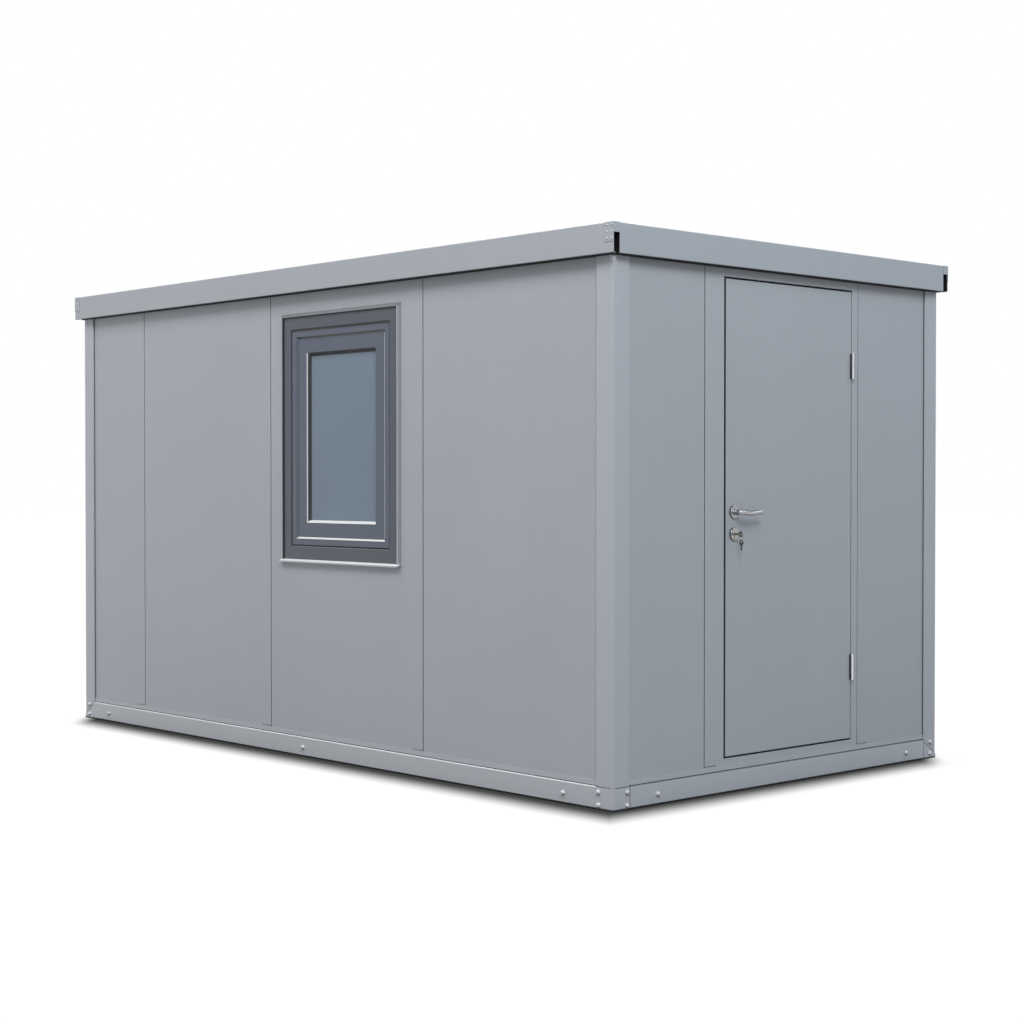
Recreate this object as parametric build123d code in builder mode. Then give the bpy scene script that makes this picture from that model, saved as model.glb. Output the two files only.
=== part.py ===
"""Office cabin: a flat-pack cabin of sandwich panels with one window and one outward-opening door.

Millimetres, +Z up. +X runs along the length towards the end with the door, and the window is in
the long wall on the -Y side. The origin is on the ground under the middle of the cabin.
"""
import os
from math import atan2, copysign, degrees

from build123d import *

os.makedirs("parts", exist_ok=True)

# Cabin as a whole, over the corner posts
cabin_length = 4040.0
cabin_width = 2170.0
cabin_height = 2300.0
cut_overrun = 20.0

# Base frame of folded rails with a foot at each corner
rail_height = 92.0
rail_sheet = 4.0
rail_fold_radius = 6.0
rail_bottom_flange = 50.0
foot_joint = 4.0
foot_spigot_height = 140.0
foot_spigot_sheet = 3.0
foot_slope_drop = 12.0
foot_slope_low = 16.0

# Floor
joist_count = 6
joist_ground_gap = 12.0
joist_flange = 40.0
joist_sheet = 3.0
deck_thickness = 43.0
deck_clearance = 3.0

# Corner posts folded from sheet
post_leg = 95.0
post_sheet = 4.0
post_corner_radius = 15.0
post_lip_radius = 5.0

# Sandwich panels and the channel they stand in
panel_inset = 10.0
panel_thickness = 60.0
panel_module = 1136.0
panel_gap = 3.0
panel_bevel = 2.0
first_long_joint = 1165.0
middle_panel_share = 0.6533
foot_slot_length = 70.0
foot_slot_height = 3.0
foot_slot_depth = 6.0
foot_slot_rise = 2.0
track_sheet = 3.0
track_upstand = 23.0
track_end_clearance = 2.0

# Roof
fascia_height = 120.0
fascia_overhang = 33.0
fascia_sheet = 2.5
fascia_fold_radius = 4.0
fascia_drip_lip = 12.0
fascia_roof_flange = 40.0
gutter_depth = 35.0
roof_thickness = 65.0
roof_rib_pitch = 280.0
roof_rib_width = 70.0
roof_rib_height = 20.0
roof_rib_end_gap = 30.0
roof_rib_slope_angle = 40.0
wall_lap_behind_fascia = 20.0
corner_plate_width = 47.0
corner_plate_height = 76.0
corner_plate_sheet = 1.5
drain_slot_height = 80.0

# Window in the second front panel
window_width = 861.0
window_height = 1141.0
window_below_fascia = 110.0
window_place_share = 0.607
window_proud = 3.0
window_side_clearance = 4.0
frame_face = 61.0
frame_depth = 70.0
frame_lip_depth = 20.0
frame_edge_bevel = 2.0
frame_back_share = 0.72
sash_gap = 5.0
sash_step_width = 43.0
sash_face = 68.0
sash_rim_depth = 3.0
sash_rim_edge = 0.5
sash_face_depth = 11.0
sash_back_depth = 74.0
bead_width = 12.0
glass_recess = 26.0
glass_thickness = 24.0
glass_edge_cover = 14.0
trim_width = 16.0
trim_rise = 11.0
trim_lip = 2.0
trim_edge = 2.0
sill_projection = 18.0
sill_drop = 9.0
window_handle_plate = (30.0, 150.0, 9.0)
window_handle_neck = 14.0
window_handle_length = 120.0
window_handle_reach = 26.0
handle_corner_share = 0.33

# Doorway in the end wall, its first joint measured from the window-side corner
first_end_joint = 548.0
lock_jamb_width = 119.0
hinge_jamb_width = 44.0
leaf_width = 850.0
leaf_thickness = 45.0
leaf_bottom = 150.0
leaf_below_fascia = 45.0
leaf_edge_radius = 1.5
lock_side_gap = 8.0
hinge_side_gap = 5.0
leaf_end_gap = 8.0
stop_gap = 5.0
stop_lap = 14.0

# Hinges
hinge_height = 118.0
hinge_knuckle_diameter = 16.0
hinge_pin_diameter = 9.0
hinge_clearance = 0.3
hinge_bearing_gap = 0.8
hinge_plate_sheet = 2.0
hinge_plate_depth = 34.0
hinge_face_clearance = 2.0
lower_hinge_rise = 319.0
upper_hinge_drop = 327.0

# Lock, lever and key
backset = 55.0
lever_spindle_height = 1167.0
lock_below_lever = 92.0
rose_diameter = 54.0
rose_thickness = 8.0
rose_edge_radius = 2.0
lever_diameter = 19.0
lever_length = 132.0
lever_projection = 50.0
lever_bend_radius = 14.0
lever_sag = 6.0
lever_sag_radius = 150.0
lever_sag_share = 0.5
lever_tip_radius = 4.0
lever_clearance = 0.4
spindle_size = 8.0
spindle_bore = 16.0
cylinder_diameter = 17.0
cylinder_stem_width = 10.0
cylinder_height = 33.0
cylinder_proud = 2.0
cylinder_clearance = 0.2
plug_diameter = 11.0
plug_length = 30.0
key_sheet = 2.4
key_blade_height = 8.0
key_blade_length = 20.0
key_bow_diameter = 24.0
key_hole_diameter = 8.0
key_ring_diameter = 24.0
key_ring_wire = 2.0
spare_blade_length = 24.0
bow_overlap_share = 0.33
ring_seat_share = 0.7

# Derived places
half_length = cabin_length / 2
half_width = cabin_width / 2
fascia_bottom = cabin_height - fascia_height
wall_top = fascia_bottom + wall_lap_behind_fascia
wall_foot = rail_height + track_sheet
roof_top = wall_top + roof_thickness
panel_back = panel_inset + panel_thickness
window_sill_height = fascia_bottom - window_below_fascia - window_height
window_start = first_long_joint + (panel_module - window_width) * window_place_share
door_start = first_end_joint + lock_jamb_width + lock_side_gap
leaf_top = fascia_bottom - leaf_below_fascia
leaf_face_x = half_length - panel_inset
leaf_back_x = leaf_face_x - leaf_thickness
hinge_axis_x = leaf_face_x + hinge_knuckle_diameter / 2 + hinge_face_clearance
hinge_axis_y = door_start + leaf_width + hinge_side_gap / 2 - half_width
lock_y = door_start + backset - half_width
lock_z = lever_spindle_height - lock_below_lever


def finish(piece, name):
    """Label a finished piece and write it as one STEP file."""
    piece.part.label = name
    export_step(piece.part, f"parts/{name}.step")


def folded_section(points, radii, sheet, side):
    """Flat section of a sheet folded along a line of points."""
    with BuildSketch() as section:
        with BuildLine():
            FilletPolyline(*points, radius=radii)
            offset(amount=sheet, side=side)
        make_face()
    return section.sketch


def inner_side(toward):
    """Side of a fold line, drawn upwards on the outer face, that the sheet's thickness goes to."""
    return Side.RIGHT if toward < 0 else Side.LEFT


def between(low, high):
    """Middle and size of the block between two corners."""
    middle = tuple((start + end) / 2 for start, end in zip(low, high))
    size = tuple(abs(end - start) for start, end in zip(low, high))
    return middle, size


def blocks(*corner_pairs):
    """One piece of plain blocks, each given by two corners."""
    with BuildPart() as made:
        for low, high in corner_pairs:
            middle, size = between(low, high)
            with Locations(middle):
                Box(*size)
    return made


# Base rails: channels of folded sheet, toes inwards, between the corner feet
rail_profile = [(rail_bottom_flange, 0), (0, 0), (0, rail_height), (post_leg, rail_height)]
for name, toward in (("front", -1), ("back", 1)):
    points = [(toward * (half_width - depth), height) for depth, height in rail_profile]
    section = folded_section(points, rail_fold_radius, rail_sheet, inner_side(toward))
    with BuildPart() as rail:
        with BuildSketch(Plane.YZ):
            add(section)
        extrude(amount=half_length - post_leg, both=True)
    finish(rail, f"base_rail_{name}")
for name, toward in (("door_end", 1), ("far_end", -1)):
    points = [(toward * (half_length - depth), height) for depth, height in rail_profile]
    section = folded_section(points, rail_fold_radius, rail_sheet, inner_side(toward))
    with BuildPart() as rail:
        with BuildSketch(Plane.XZ):
            add(section)
        extrude(amount=half_width - post_leg - foot_joint, both=True)
    finish(rail, f"base_rail_{name}")

# Corner posts and the feet that wrap round them; two opposite feet have sloping shoulders
corners = (
    ("front_door", 1, -1, False),
    ("front_far", -1, -1, True),
    ("back_door", 1, 1, True),
    ("back_far", -1, 1, False),
)
foot_slope_high = rail_height - foot_slope_drop
spigot_reach = post_leg - post_lip_radius
spigot_radius = post_corner_radius - post_sheet
spigot_back = post_sheet + foot_spigot_sheet
post_profile = [(post_leg, panel_inset), (post_leg, 0), (0, 0), (0, post_leg), (panel_inset, post_leg)]
post_radii = [post_lip_radius, post_corner_radius, post_lip_radius]
foot_profile = [(post_leg, 0), (0, 0), (0, post_leg)]
spigot_profile = [(spigot_reach, post_sheet), (post_sheet, post_sheet), (post_sheet, spigot_reach)]


def at_corner(profile, toward_x, toward_y):
    """Plan points measured inwards from one corner of the cabin."""
    return [(toward_x * (half_length - along), toward_y * (half_width - across)) for along, across in profile]


def shoulder_tool(toward_x, toward_y, rise, edge_height, depth):
    """Cutter on both faces of a corner, between the sloping shoulder line and a level."""
    outline = [
        (-cut_overrun, edge_height),
        (-cut_overrun, foot_slope_low + rise),
        (0, foot_slope_low + rise),
        (post_leg, foot_slope_high + rise),
        (post_leg + cut_overrun, foot_slope_high + rise),
        (post_leg + cut_overrun, edge_height),
    ]
    long_face = [(toward_x * (half_length - along), height) for along, height in outline]
    end_face = [(toward_y * (half_width - along), height) for along, height in outline]
    reach = depth + cut_overrun
    with BuildPart() as tool:
        with BuildSketch(Plane.XZ.offset(-toward_y * (half_width + cut_overrun))):
            with BuildLine():
                Polyline(*long_face, close=True)
            make_face()
        extrude(amount=toward_y * reach)
        with BuildSketch(Plane.YZ.offset(toward_x * (half_length + cut_overrun))):
            with BuildLine():
                Polyline(*end_face, close=True)
            make_face()
        extrude(amount=-toward_x * reach)
    return tool.part


for name, toward_x, toward_y, sloping in corners:
    side = inner_side(toward_x * -toward_y)
    post_points = at_corner(post_profile, toward_x, toward_y)
    foot_points = at_corner(foot_profile, toward_x, toward_y)
    spigot_points = at_corner(spigot_profile, toward_x, toward_y)
    post_section = folded_section(post_points, post_radii, post_sheet, side)
    foot_section = folded_section(foot_points, rail_fold_radius, rail_sheet, side)
    spigot_section = folded_section(spigot_points, spigot_radius, foot_spigot_sheet, side)
    above_slope = shoulder_tool(toward_x, toward_y, 0, rail_height + cut_overrun, rail_fold_radius)
    below_slope = shoulder_tool(toward_x, toward_y, foot_joint, -cut_overrun, panel_inset)
    post_start = foot_slope_low if sloping else rail_height
    plate_corners = at_corner([(spigot_back, spigot_back), (spigot_reach, spigot_reach)], toward_x, toward_y)
    plate_middle, plate_size = between(*plate_corners)

    with BuildPart() as corner_post:
        with BuildSketch(Plane.XY.offset(post_start)):
            add(post_section)
        extrude(amount=wall_top - post_start)
        if sloping:
            add(below_slope, mode=Mode.SUBTRACT)
    finish(corner_post, f"corner_post_{name}")

    with BuildPart() as corner_foot:
        with BuildSketch():
            add(foot_section)
        extrude(amount=rail_height)
        if sloping:
            add(above_slope, mode=Mode.SUBTRACT)
        with BuildSketch():
            add(spigot_section)
        extrude(amount=foot_spigot_height)
        for level in (0, rail_height - rail_sheet):
            with BuildSketch(Plane.XY.offset(level)) as plate:
                with Locations(plate_middle):
                    Rectangle(*plate_size)
                outer_vertex = plate.vertices().sort_by_distance((*plate_corners[0], level))[0]
                fillet(outer_vertex, radius=spigot_radius - foot_spigot_sheet)
            extrude(amount=rail_sheet)
    finish(corner_foot, f"corner_foot_{name}")

# Floor joists: channels with coped ends under the rail flanges, from rail to rail
joist_foot = joist_ground_gap
joist_cope = rail_height - rail_fold_radius
joist_reach = half_width - rail_sheet
joist_top_reach = half_width - post_leg
joist_pitch = (cabin_length - 2 * post_leg) / (joist_count + 1)
with BuildPart() as floor_joists:
    for index in range(joist_count):
        joist_x = joist_pitch * (index + 1) - half_length + post_leg
        with BuildSketch(Plane.YZ.offset(joist_x)):
            with BuildLine():
                Polyline(
                    (-joist_reach, joist_foot),
                    (joist_reach, joist_foot),
                    (joist_reach, joist_cope),
                    (joist_top_reach, joist_cope),
                    (joist_top_reach, rail_height),
                    (-joist_top_reach, rail_height),
                    (-joist_top_reach, joist_cope),
                    (-joist_reach, joist_cope),
                    close=True,
                )
            make_face()
        extrude(amount=joist_sheet)
        flanges = (
            (joist_top_reach, rail_height - joist_sheet, rail_height),
            (joist_top_reach, joist_foot, joist_foot + joist_sheet),
        )
        for reach, bottom, top in flanges:
            middle, size = between((joist_x, -reach, bottom), (joist_x + joist_flange, reach, top))
            with Locations(middle):
                Box(*size)
finish(floor_joists, "floor_joists")

# Floor deck: one board on the joists and rail flanges, inside the wall channels
deck_inset = panel_back + track_sheet + deck_clearance
deck_top = rail_height + deck_thickness
floor_deck = blocks(
    (
        (deck_inset - half_length, deck_inset - half_width, rail_height),
        (half_length - deck_inset, half_width - deck_inset, deck_top),
    )
)
finish(floor_deck, "floor_deck")

# Wall channels: a low upright channel on each rail, holding the feet of the panels
track_profile = [
    (panel_inset - track_sheet, rail_height + track_upstand),
    (panel_inset - track_sheet, rail_height),
    (panel_back + track_sheet, rail_height),
    (panel_back + track_sheet, rail_height + track_upstand),
    (panel_back, rail_height + track_upstand),
    (panel_back, wall_foot),
    (panel_inset, wall_foot),
    (panel_inset, rail_height + track_upstand),
]
track_end = post_leg + track_end_clearance
with BuildPart() as wall_channels:
    for toward in (-1, 1):
        long_points = [(toward * (half_width - depth), height) for depth, height in track_profile]
        end_points = [(toward * (half_length - depth), height) for depth, height in track_profile]
        with BuildSketch(Plane.YZ):
            with BuildLine():
                Polyline(*long_points, close=True)
            make_face()
        extrude(amount=half_length - track_end, both=True)
        with BuildSketch(Plane.XZ):
            with BuildLine():
                Polyline(*end_points, close=True)
            make_face()
        extrude(amount=half_width - track_end, both=True)
finish(wall_channels, "wall_channels")


def panel_spans(stations):
    """Start and end of each panel between joint lines, with half a joint left open at each line."""
    spans = []
    for index in range(len(stations) - 1):
        start = stations[index] + (panel_gap / 2 if index > 0 else 0)
        end = stations[index + 1] - (panel_gap / 2 if index < len(stations) - 2 else 0)
        spans.append((start, end))
    return spans


def long_panel(span, toward):
    """Corners of a long-wall panel, its span measured from the door-end corner."""
    start, end = span
    return (
        (half_length - start, toward * (half_width - panel_inset), wall_foot),
        (half_length - end, toward * (half_width - panel_back), wall_top),
    )


def end_panel(span, toward):
    """Corners of an end-wall panel, its span measured from the window-side corner."""
    start, end = span
    return (
        (toward * (half_length - panel_inset), start - half_width, wall_foot),
        (toward * (half_length - panel_back), end - half_width, wall_top),
    )


def foot_slot(low, high, along_y):
    """Corners of the short open slot over the channel, at the joint that a panel starts from."""
    start_x, start_y = low[0], low[1]
    toward_x = copysign(1, high[0] - start_x)
    toward_y = copysign(1, high[1] - start_y)
    run_x, run_y = (foot_slot_depth, foot_slot_length) if along_y else (foot_slot_length, foot_slot_depth)
    bottom = rail_height + track_upstand + foot_slot_rise
    return (
        (start_x, start_y, bottom),
        (start_x + toward_x * run_x, start_y + toward_y * run_y, bottom + foot_slot_height),
    )


def bevelled_panels(corner_pairs, along_y, outer_last, first_is_slotted):
    """Sandwich panels with their outer upright edges bevelled, so that each joint is a fine groove."""
    with BuildPart() as made:
        for low, high in corner_pairs:
            middle, size = between(low, high)
            with Locations(middle):
                Box(*size)
        uprights = made.edges().filter_by(Axis.Z).group_by(Axis.X if along_y else Axis.Y)
        chamfer(uprights[-1] if outer_last else uprights[0], length=panel_bevel)
        for low, high in corner_pairs if first_is_slotted else corner_pairs[1:]:
            middle, size = between(*foot_slot(low, high, along_y))
            with Locations(middle):
                Box(*size, mode=Mode.SUBTRACT)
    return made


# Long walls: three wide panels and a narrow one, the window cut through the second in front
second_long_joint = first_long_joint + panel_module
third_long_joint = second_long_joint + (cabin_length - second_long_joint) * middle_panel_share
long_joints = [first_long_joint, second_long_joint, third_long_joint]
long_spans = panel_spans([panel_back, *long_joints, cabin_length - panel_back])
window_x = half_length - window_start - window_width / 2
window_z = window_sill_height + window_height / 2
front_names = ("front_panel_door_side", "front_panel_window", "front_panel_middle", "front_panel_far")
for name, span in zip(front_names, long_spans):
    blank = bevelled_panels([long_panel(span, -1)], False, False, name != front_names[0])
    with BuildPart() as front_panel:
        add(blank.part)
        if name == "front_panel_window":
            with BuildSketch(Plane.XZ.offset(half_width)):
                with Locations((window_x, window_z + window_side_clearance / 2)):
                    Rectangle(window_width + 2 * window_side_clearance, window_height + window_side_clearance)
            extrude(amount=-(panel_back + cut_overrun), mode=Mode.SUBTRACT)
    finish(front_panel, name)
back_wall = bevelled_panels([long_panel(span, 1) for span in long_spans], False, True, False)
finish(back_wall, "back_wall_panels")

# End walls: two panels at the far end, and one each side of the doorway
far_stations = [panel_inset, panel_inset + panel_module, cabin_width - panel_inset]
far_pairs = [end_panel(span, -1) for span in panel_spans(far_stations)]
finish(bevelled_panels(far_pairs, True, False, False), "far_end_panels")
second_end_joint = door_start + leaf_width + hinge_side_gap + hinge_jamb_width
door_stations = [panel_inset, first_end_joint, second_end_joint, cabin_width - panel_inset]
left_span, door_span, right_span = panel_spans(door_stations)
finish(bevelled_panels([end_panel(left_span, 1)], True, True, False), "door_end_panel_left")
finish(bevelled_panels([end_panel(right_span, 1)], True, True, True), "door_end_panel_right")

# Door surround: two jambs, a head and a sill, with a stop behind the leaf on all four sides
unit_start, unit_end = door_span
opening_left = door_start - lock_side_gap - half_width
opening_right = door_start + leaf_width + hinge_side_gap - half_width
opening_bottom = leaf_bottom - leaf_end_gap
opening_top = leaf_top + leaf_end_gap
stop_left = door_start + stop_lap - half_width
stop_right = door_start + leaf_width - stop_lap - half_width
wall_back_x = half_length - panel_back
stop_face_x = leaf_back_x - stop_gap
jamb_start = unit_start - half_width
jamb_blank = blocks(
    ((wall_back_x, jamb_start, wall_foot), (leaf_face_x, opening_left, wall_top)),
    ((wall_back_x, opening_left, opening_bottom), (stop_face_x, stop_left, opening_top)),
)
jamb_slot = blocks(foot_slot((leaf_face_x, jamb_start), (wall_back_x, opening_left), True))
with BuildPart() as jamb_left:
    add(jamb_blank.part)
    add(jamb_slot.part, mode=Mode.SUBTRACT)
finish(jamb_left, "door_jamb_lock_side")
jamb_right = blocks(
    ((wall_back_x, opening_right, wall_foot), (leaf_face_x, unit_end - half_width, wall_top)),
    ((wall_back_x, stop_right, opening_bottom), (stop_face_x, opening_right, opening_top)),
)
finish(jamb_right, "door_jamb_hinge_side")
door_head = blocks(
    ((wall_back_x, opening_left, opening_top), (leaf_face_x, opening_right, wall_top)),
    ((wall_back_x, stop_left, leaf_top - stop_lap), (stop_face_x, stop_right, opening_top)),
)
finish(door_head, "door_head")
door_sill = blocks(
    ((wall_back_x, opening_left, wall_foot), (leaf_face_x, opening_right, opening_bottom)),
    ((wall_back_x, stop_left, opening_bottom), (stop_face_x, stop_right, leaf_bottom + stop_lap)),
)
finish(door_sill, "door_sill")

# Roof panels across the cabin, inside the fascias, their top sheets stiffened by pressed ribs
fascia_x = half_length + fascia_overhang
fascia_y = half_width + fascia_overhang
roof_reach_x = fascia_x - gutter_depth
roof_reach_y = fascia_y - gutter_depth
flange_cover = fascia_roof_flange + roof_rib_end_gap
rib_length = 2 * (roof_reach_y - flange_cover)
rib_stretch = roof_reach_x - flange_cover
roof_stations = [half_length - roof_reach_x, *long_joints, half_length + roof_reach_x]
with BuildPart() as roof_panels:
    for start, end in panel_spans(roof_stations):
        middle, size = between(
            (half_length - end, -roof_reach_y, wall_top),
            (half_length - start, roof_reach_y, roof_top),
        )
        with Locations(middle):
            Box(*size)
        rib_start = max(half_length - end, -rib_stretch)
        rib_room = min(half_length - start, rib_stretch) - rib_start
        rib_count = max(1, round(rib_room / roof_rib_pitch))
        with BuildSketch(Plane.XY.offset(roof_top)):
            with Locations((rib_start + rib_room / 2, 0)):
                with GridLocations(rib_room / rib_count, 0, rib_count, 1):
                    Rectangle(roof_rib_width, rib_length)
        extrude(amount=roof_rib_height, taper=roof_rib_slope_angle)
finish(roof_panels, "roof_panels")

# Fascias: sheet folded into a hood that hangs in front of the wall heads. The long ones run to the
# corners, where their open ends are the drain slots
flange_level = roof_top + fascia_sheet
fascia_profile = [
    (fascia_drip_lip, fascia_bottom),
    (0, fascia_bottom),
    (0, cabin_height),
    (gutter_depth, cabin_height),
    (gutter_depth, flange_level),
    (gutter_depth + fascia_roof_flange, flange_level),
]
flange_end = fascia_x - gutter_depth - fascia_roof_flange - panel_gap
for name, toward in (("front", -1), ("back", 1)):
    points = [(toward * (fascia_y - depth), height) for depth, height in fascia_profile]
    section = folded_section(points, fascia_fold_radius, fascia_sheet, inner_side(toward))
    with BuildPart() as gutter:
        with BuildSketch(Plane.YZ):
            add(section)
        extrude(amount=fascia_x, both=True)
        for end in (-1, 1):
            middle, size = between(
                (end * flange_end, toward * roof_reach_y, wall_top),
                (end * (fascia_x + cut_overrun), 0, flange_level + fascia_fold_radius),
            )
            with Locations(middle):
                Box(*size, mode=Mode.SUBTRACT)
    finish(gutter, f"gutter_fascia_{name}")
for name, toward in (("door", 1), ("far", -1)):
    points = [(toward * (fascia_x - depth), height) for depth, height in fascia_profile]
    section = folded_section(points, fascia_fold_radius, fascia_sheet, inner_side(toward))
    with BuildPart() as end_fascia:
        with BuildSketch(Plane.XZ):
            add(section)
        extrude(amount=roof_reach_y, both=True)
        for end in (-1, 1):
            middle, size = between(
                (toward * (fascia_x - fascia_sheet), end * roof_reach_y, fascia_bottom + fascia_sheet),
                (toward * (fascia_x - gutter_depth + fascia_sheet), end * (roof_reach_y - fascia_sheet),
                 cabin_height - fascia_sheet),
            )
            with Locations(middle):
                Box(*size)
    finish(end_fascia, f"end_fascia_{name}")

# Corner plates: small sheet caps riveted over the upper ends of the long fascias
with BuildPart() as corner_plates:
    for toward_x in (-1, 1):
        for toward_y in (-1, 1):
            outer_x = toward_x * (fascia_x + corner_plate_sheet)
            outer_y = toward_y * (fascia_y + corner_plate_sheet)
            legs = (
                (
                    (toward_x * (fascia_x - corner_plate_width), toward_y * fascia_y,
                     cabin_height - corner_plate_height),
                    (outer_x, outer_y, cabin_height),
                ),
                (
                    (toward_x * fascia_x, toward_y * roof_reach_y, fascia_bottom + drain_slot_height),
                    (outer_x, outer_y, cabin_height),
                ),
            )
            for low, high in legs:
                middle, size = between(low, high)
                with Locations(middle):
                    Box(*size)
finish(corner_plates, "roof_corner_plates")

# Window: a fixed frame, a sash with a raised rim in front of its back lip, sealed glass and a trim
window_front = half_width - panel_inset + window_proud
frame_back_face = frame_face * frame_back_share
rim_start = frame_face + sash_gap
face_start = frame_face + sash_step_width
daylight = face_start + sash_face + bead_width
glass_start = daylight - glass_edge_cover
frame_rings = (
    (0, frame_face, 0, frame_lip_depth),
    (0, frame_back_face, frame_lip_depth, frame_depth),
)
sash_rings = (
    (frame_back_face + sash_gap, glass_start, frame_lip_depth, sash_back_depth),
    (rim_start, daylight, sash_face_depth, glass_recess),
    (rim_start, face_start, sash_rim_depth, sash_face_depth),
    (glass_start, daylight, glass_recess + glass_thickness, sash_back_depth),
)


def window_rings(rings):
    """Mitred bars round the window: each from one inset to another, between two depths from the front."""
    with BuildPart() as made:
        for outer, inner, start, end in rings:
            with BuildSketch(Plane.XZ.offset(window_front - start)):
                with Locations((window_x, window_z)):
                    Rectangle(window_width - 2 * outer, window_height - 2 * outer)
                    Rectangle(window_width - 2 * inner, window_height - 2 * inner, mode=Mode.SUBTRACT)
            extrude(amount=start - end)
    return made


sash_slope = sash_face_depth - sash_rim_depth - sash_rim_edge
frame_blank = window_rings(frame_rings)
with BuildPart() as window_frame:
    add(frame_blank.part)
    chamfer(window_frame.faces().sort_by(Axis.Y)[0].inner_wires()[0].edges(), length=frame_edge_bevel)
finish(window_frame, "window_frame")
sash_blank = window_rings(sash_rings)
with BuildPart() as window_sash:
    add(sash_blank.part)
    front_faces = window_sash.faces().filter_by(Axis.Y).sort_by(Axis.Y)
    chamfer(front_faces[1].inner_wires()[0].edges(), length=bead_width)
    chamfer(window_sash.faces().sort_by(Axis.Y)[0].inner_wires()[0].edges(), length=sash_slope)
    chamfer(window_sash.faces().sort_by(Axis.Y)[0].outer_wire().edges(), length=frame_edge_bevel)
finish(window_sash, "window_sash")
with BuildPart() as window_glass:
    with BuildSketch(Plane.XZ.offset(window_front - glass_recess)):
        with Locations((window_x, window_z)):
            Rectangle(window_width - 2 * glass_start, window_height - 2 * glass_start)
    extrude(amount=-glass_thickness)
finish(window_glass, "window_glass")

# Window trim: a strip on three sides that falls away from a lip beside the frame, and a drip sill below
wall_face = half_width - panel_inset
sill_face = wall_face + sill_projection
sill_bottom = window_sill_height - trim_width
trim_slope_angle = degrees(atan2(trim_width - trim_lip, trim_rise - trim_edge))
with BuildPart() as window_trim:
    for level, rise, slope in ((0, trim_edge, 0), (trim_edge, trim_rise - trim_edge, trim_slope_angle)):
        with BuildSketch(Plane.XZ.offset(wall_face + level)):
            with Locations((window_x, window_z)):
                Rectangle(window_width + 2 * trim_width, window_height + 2 * trim_width)
        extrude(amount=rise, taper=slope)
    with BuildSketch(Plane.XZ.offset(wall_face)):
        with Locations((window_x, window_z - trim_width / 2)):
            Rectangle(window_width, window_height + trim_width)
    extrude(amount=trim_rise, mode=Mode.SUBTRACT)
    with BuildSketch(Plane.YZ.offset(window_x)):
        with BuildLine():
            Polyline(
                (-wall_face, window_sill_height),
                (-sill_face, window_sill_height - sill_drop),
                (-sill_face, sill_bottom),
                (-wall_face, sill_bottom),
                close=True,
            )
        make_face()
    extrude(amount=window_width / 2 + trim_width, both=True)
finish(window_trim, "window_trim")

# Window handle inside, on the stile next to the door end, pointing down
handle_plate_width, handle_plate_height, handle_plate_thickness = window_handle_plate
sash_back_y = sash_back_depth - window_front
handle_x = window_x + window_width / 2 - (frame_back_face + sash_gap + glass_start) / 2
with BuildPart() as window_handle:
    with BuildSketch(Plane.XZ.offset(-sash_back_y)):
        with Locations((handle_x, window_z)):
            handle_corner = handle_plate_width * handle_corner_share
            RectangleRounded(handle_plate_width, handle_plate_height, handle_corner)
    extrude(amount=-handle_plate_thickness)
    handle_start = sash_back_y + handle_plate_thickness / 2
    handle_end = sash_back_y + handle_plate_thickness + window_handle_reach
    with BuildLine() as handle_path:
        FilletPolyline(
            (handle_x, handle_start, window_z),
            (handle_x, handle_end, window_z),
            (handle_x, handle_end, window_z - window_handle_length),
            radius=window_handle_neck,
        )
    with BuildSketch(Plane(origin=handle_path.line @ 0, z_dir=handle_path.line % 0)):
        Circle(window_handle_neck / 2)
    sweep(path=handle_path.line)
finish(window_handle, "window_handle")

# Door leaf: one flush panel, bored for the lever spindle and the lock cylinder
cylinder_stem = cylinder_height - cylinder_diameter / 2 - cylinder_stem_width / 2


def cylinder_section(grow):
    """Lock cylinder outline: a round barrel over a narrow rounded stem."""
    with BuildSketch() as section:
        Circle(cylinder_diameter / 2 + grow)
        with Locations((0, -cylinder_stem / 2)):
            Rectangle(cylinder_stem_width + 2 * grow, cylinder_stem)
        with Locations((0, -cylinder_stem)):
            Circle(cylinder_stem_width / 2 + grow)
    return section.sketch


cylinder_hole = cylinder_section(cylinder_clearance)
cylinder_outline = cylinder_section(0)
leaf_start_y = door_start - half_width
leaf_blank = blocks(
    ((leaf_back_x, leaf_start_y, leaf_bottom), (leaf_face_x, leaf_start_y + leaf_width, leaf_top))
)
with BuildPart() as door_leaf:
    add(leaf_blank.part)
    fillet(door_leaf.faces().sort_by(Axis.X)[-1].edges(), radius=leaf_edge_radius)
    with BuildSketch(Plane.YZ.offset(leaf_back_x - cut_overrun)):
        with Locations((lock_y, lever_spindle_height)):
            Circle(spindle_bore / 2)
        with Locations((lock_y, lock_z)):
            add(cylinder_hole)
    extrude(amount=leaf_thickness + 2 * cut_overrun, mode=Mode.SUBTRACT)
finish(door_leaf, "door_leaf")

# Hinges: a knuckle with a pin on the jamb, and a knuckle over that pin on the leaf
knuckle_half = hinge_height / 2
pin_reach = knuckle_half - hinge_plate_sheet
plate_offset = hinge_side_gap / 2 - hinge_plate_sheet
hinge_levels = (leaf_bottom + lower_hinge_rise, leaf_top - upper_hinge_drop)
with BuildPart() as frame_hinges:
    for level in hinge_levels:
        with BuildSketch(Plane.XY.offset(level - knuckle_half)):
            with Locations((hinge_axis_x, hinge_axis_y)):
                Circle(hinge_knuckle_diameter / 2)
            middle, size = between(
                (hinge_axis_x - hinge_plate_depth, hinge_axis_y + plate_offset),
                (hinge_axis_x, hinge_axis_y + hinge_side_gap / 2),
            )
            with Locations(middle):
                Rectangle(*size)
        extrude(amount=knuckle_half - hinge_bearing_gap / 2)
        with BuildSketch(Plane.XY.offset(level - knuckle_half)):
            with Locations((hinge_axis_x, hinge_axis_y)):
                Circle(hinge_pin_diameter / 2)
        extrude(amount=knuckle_half + pin_reach - hinge_plate_sheet)
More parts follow.
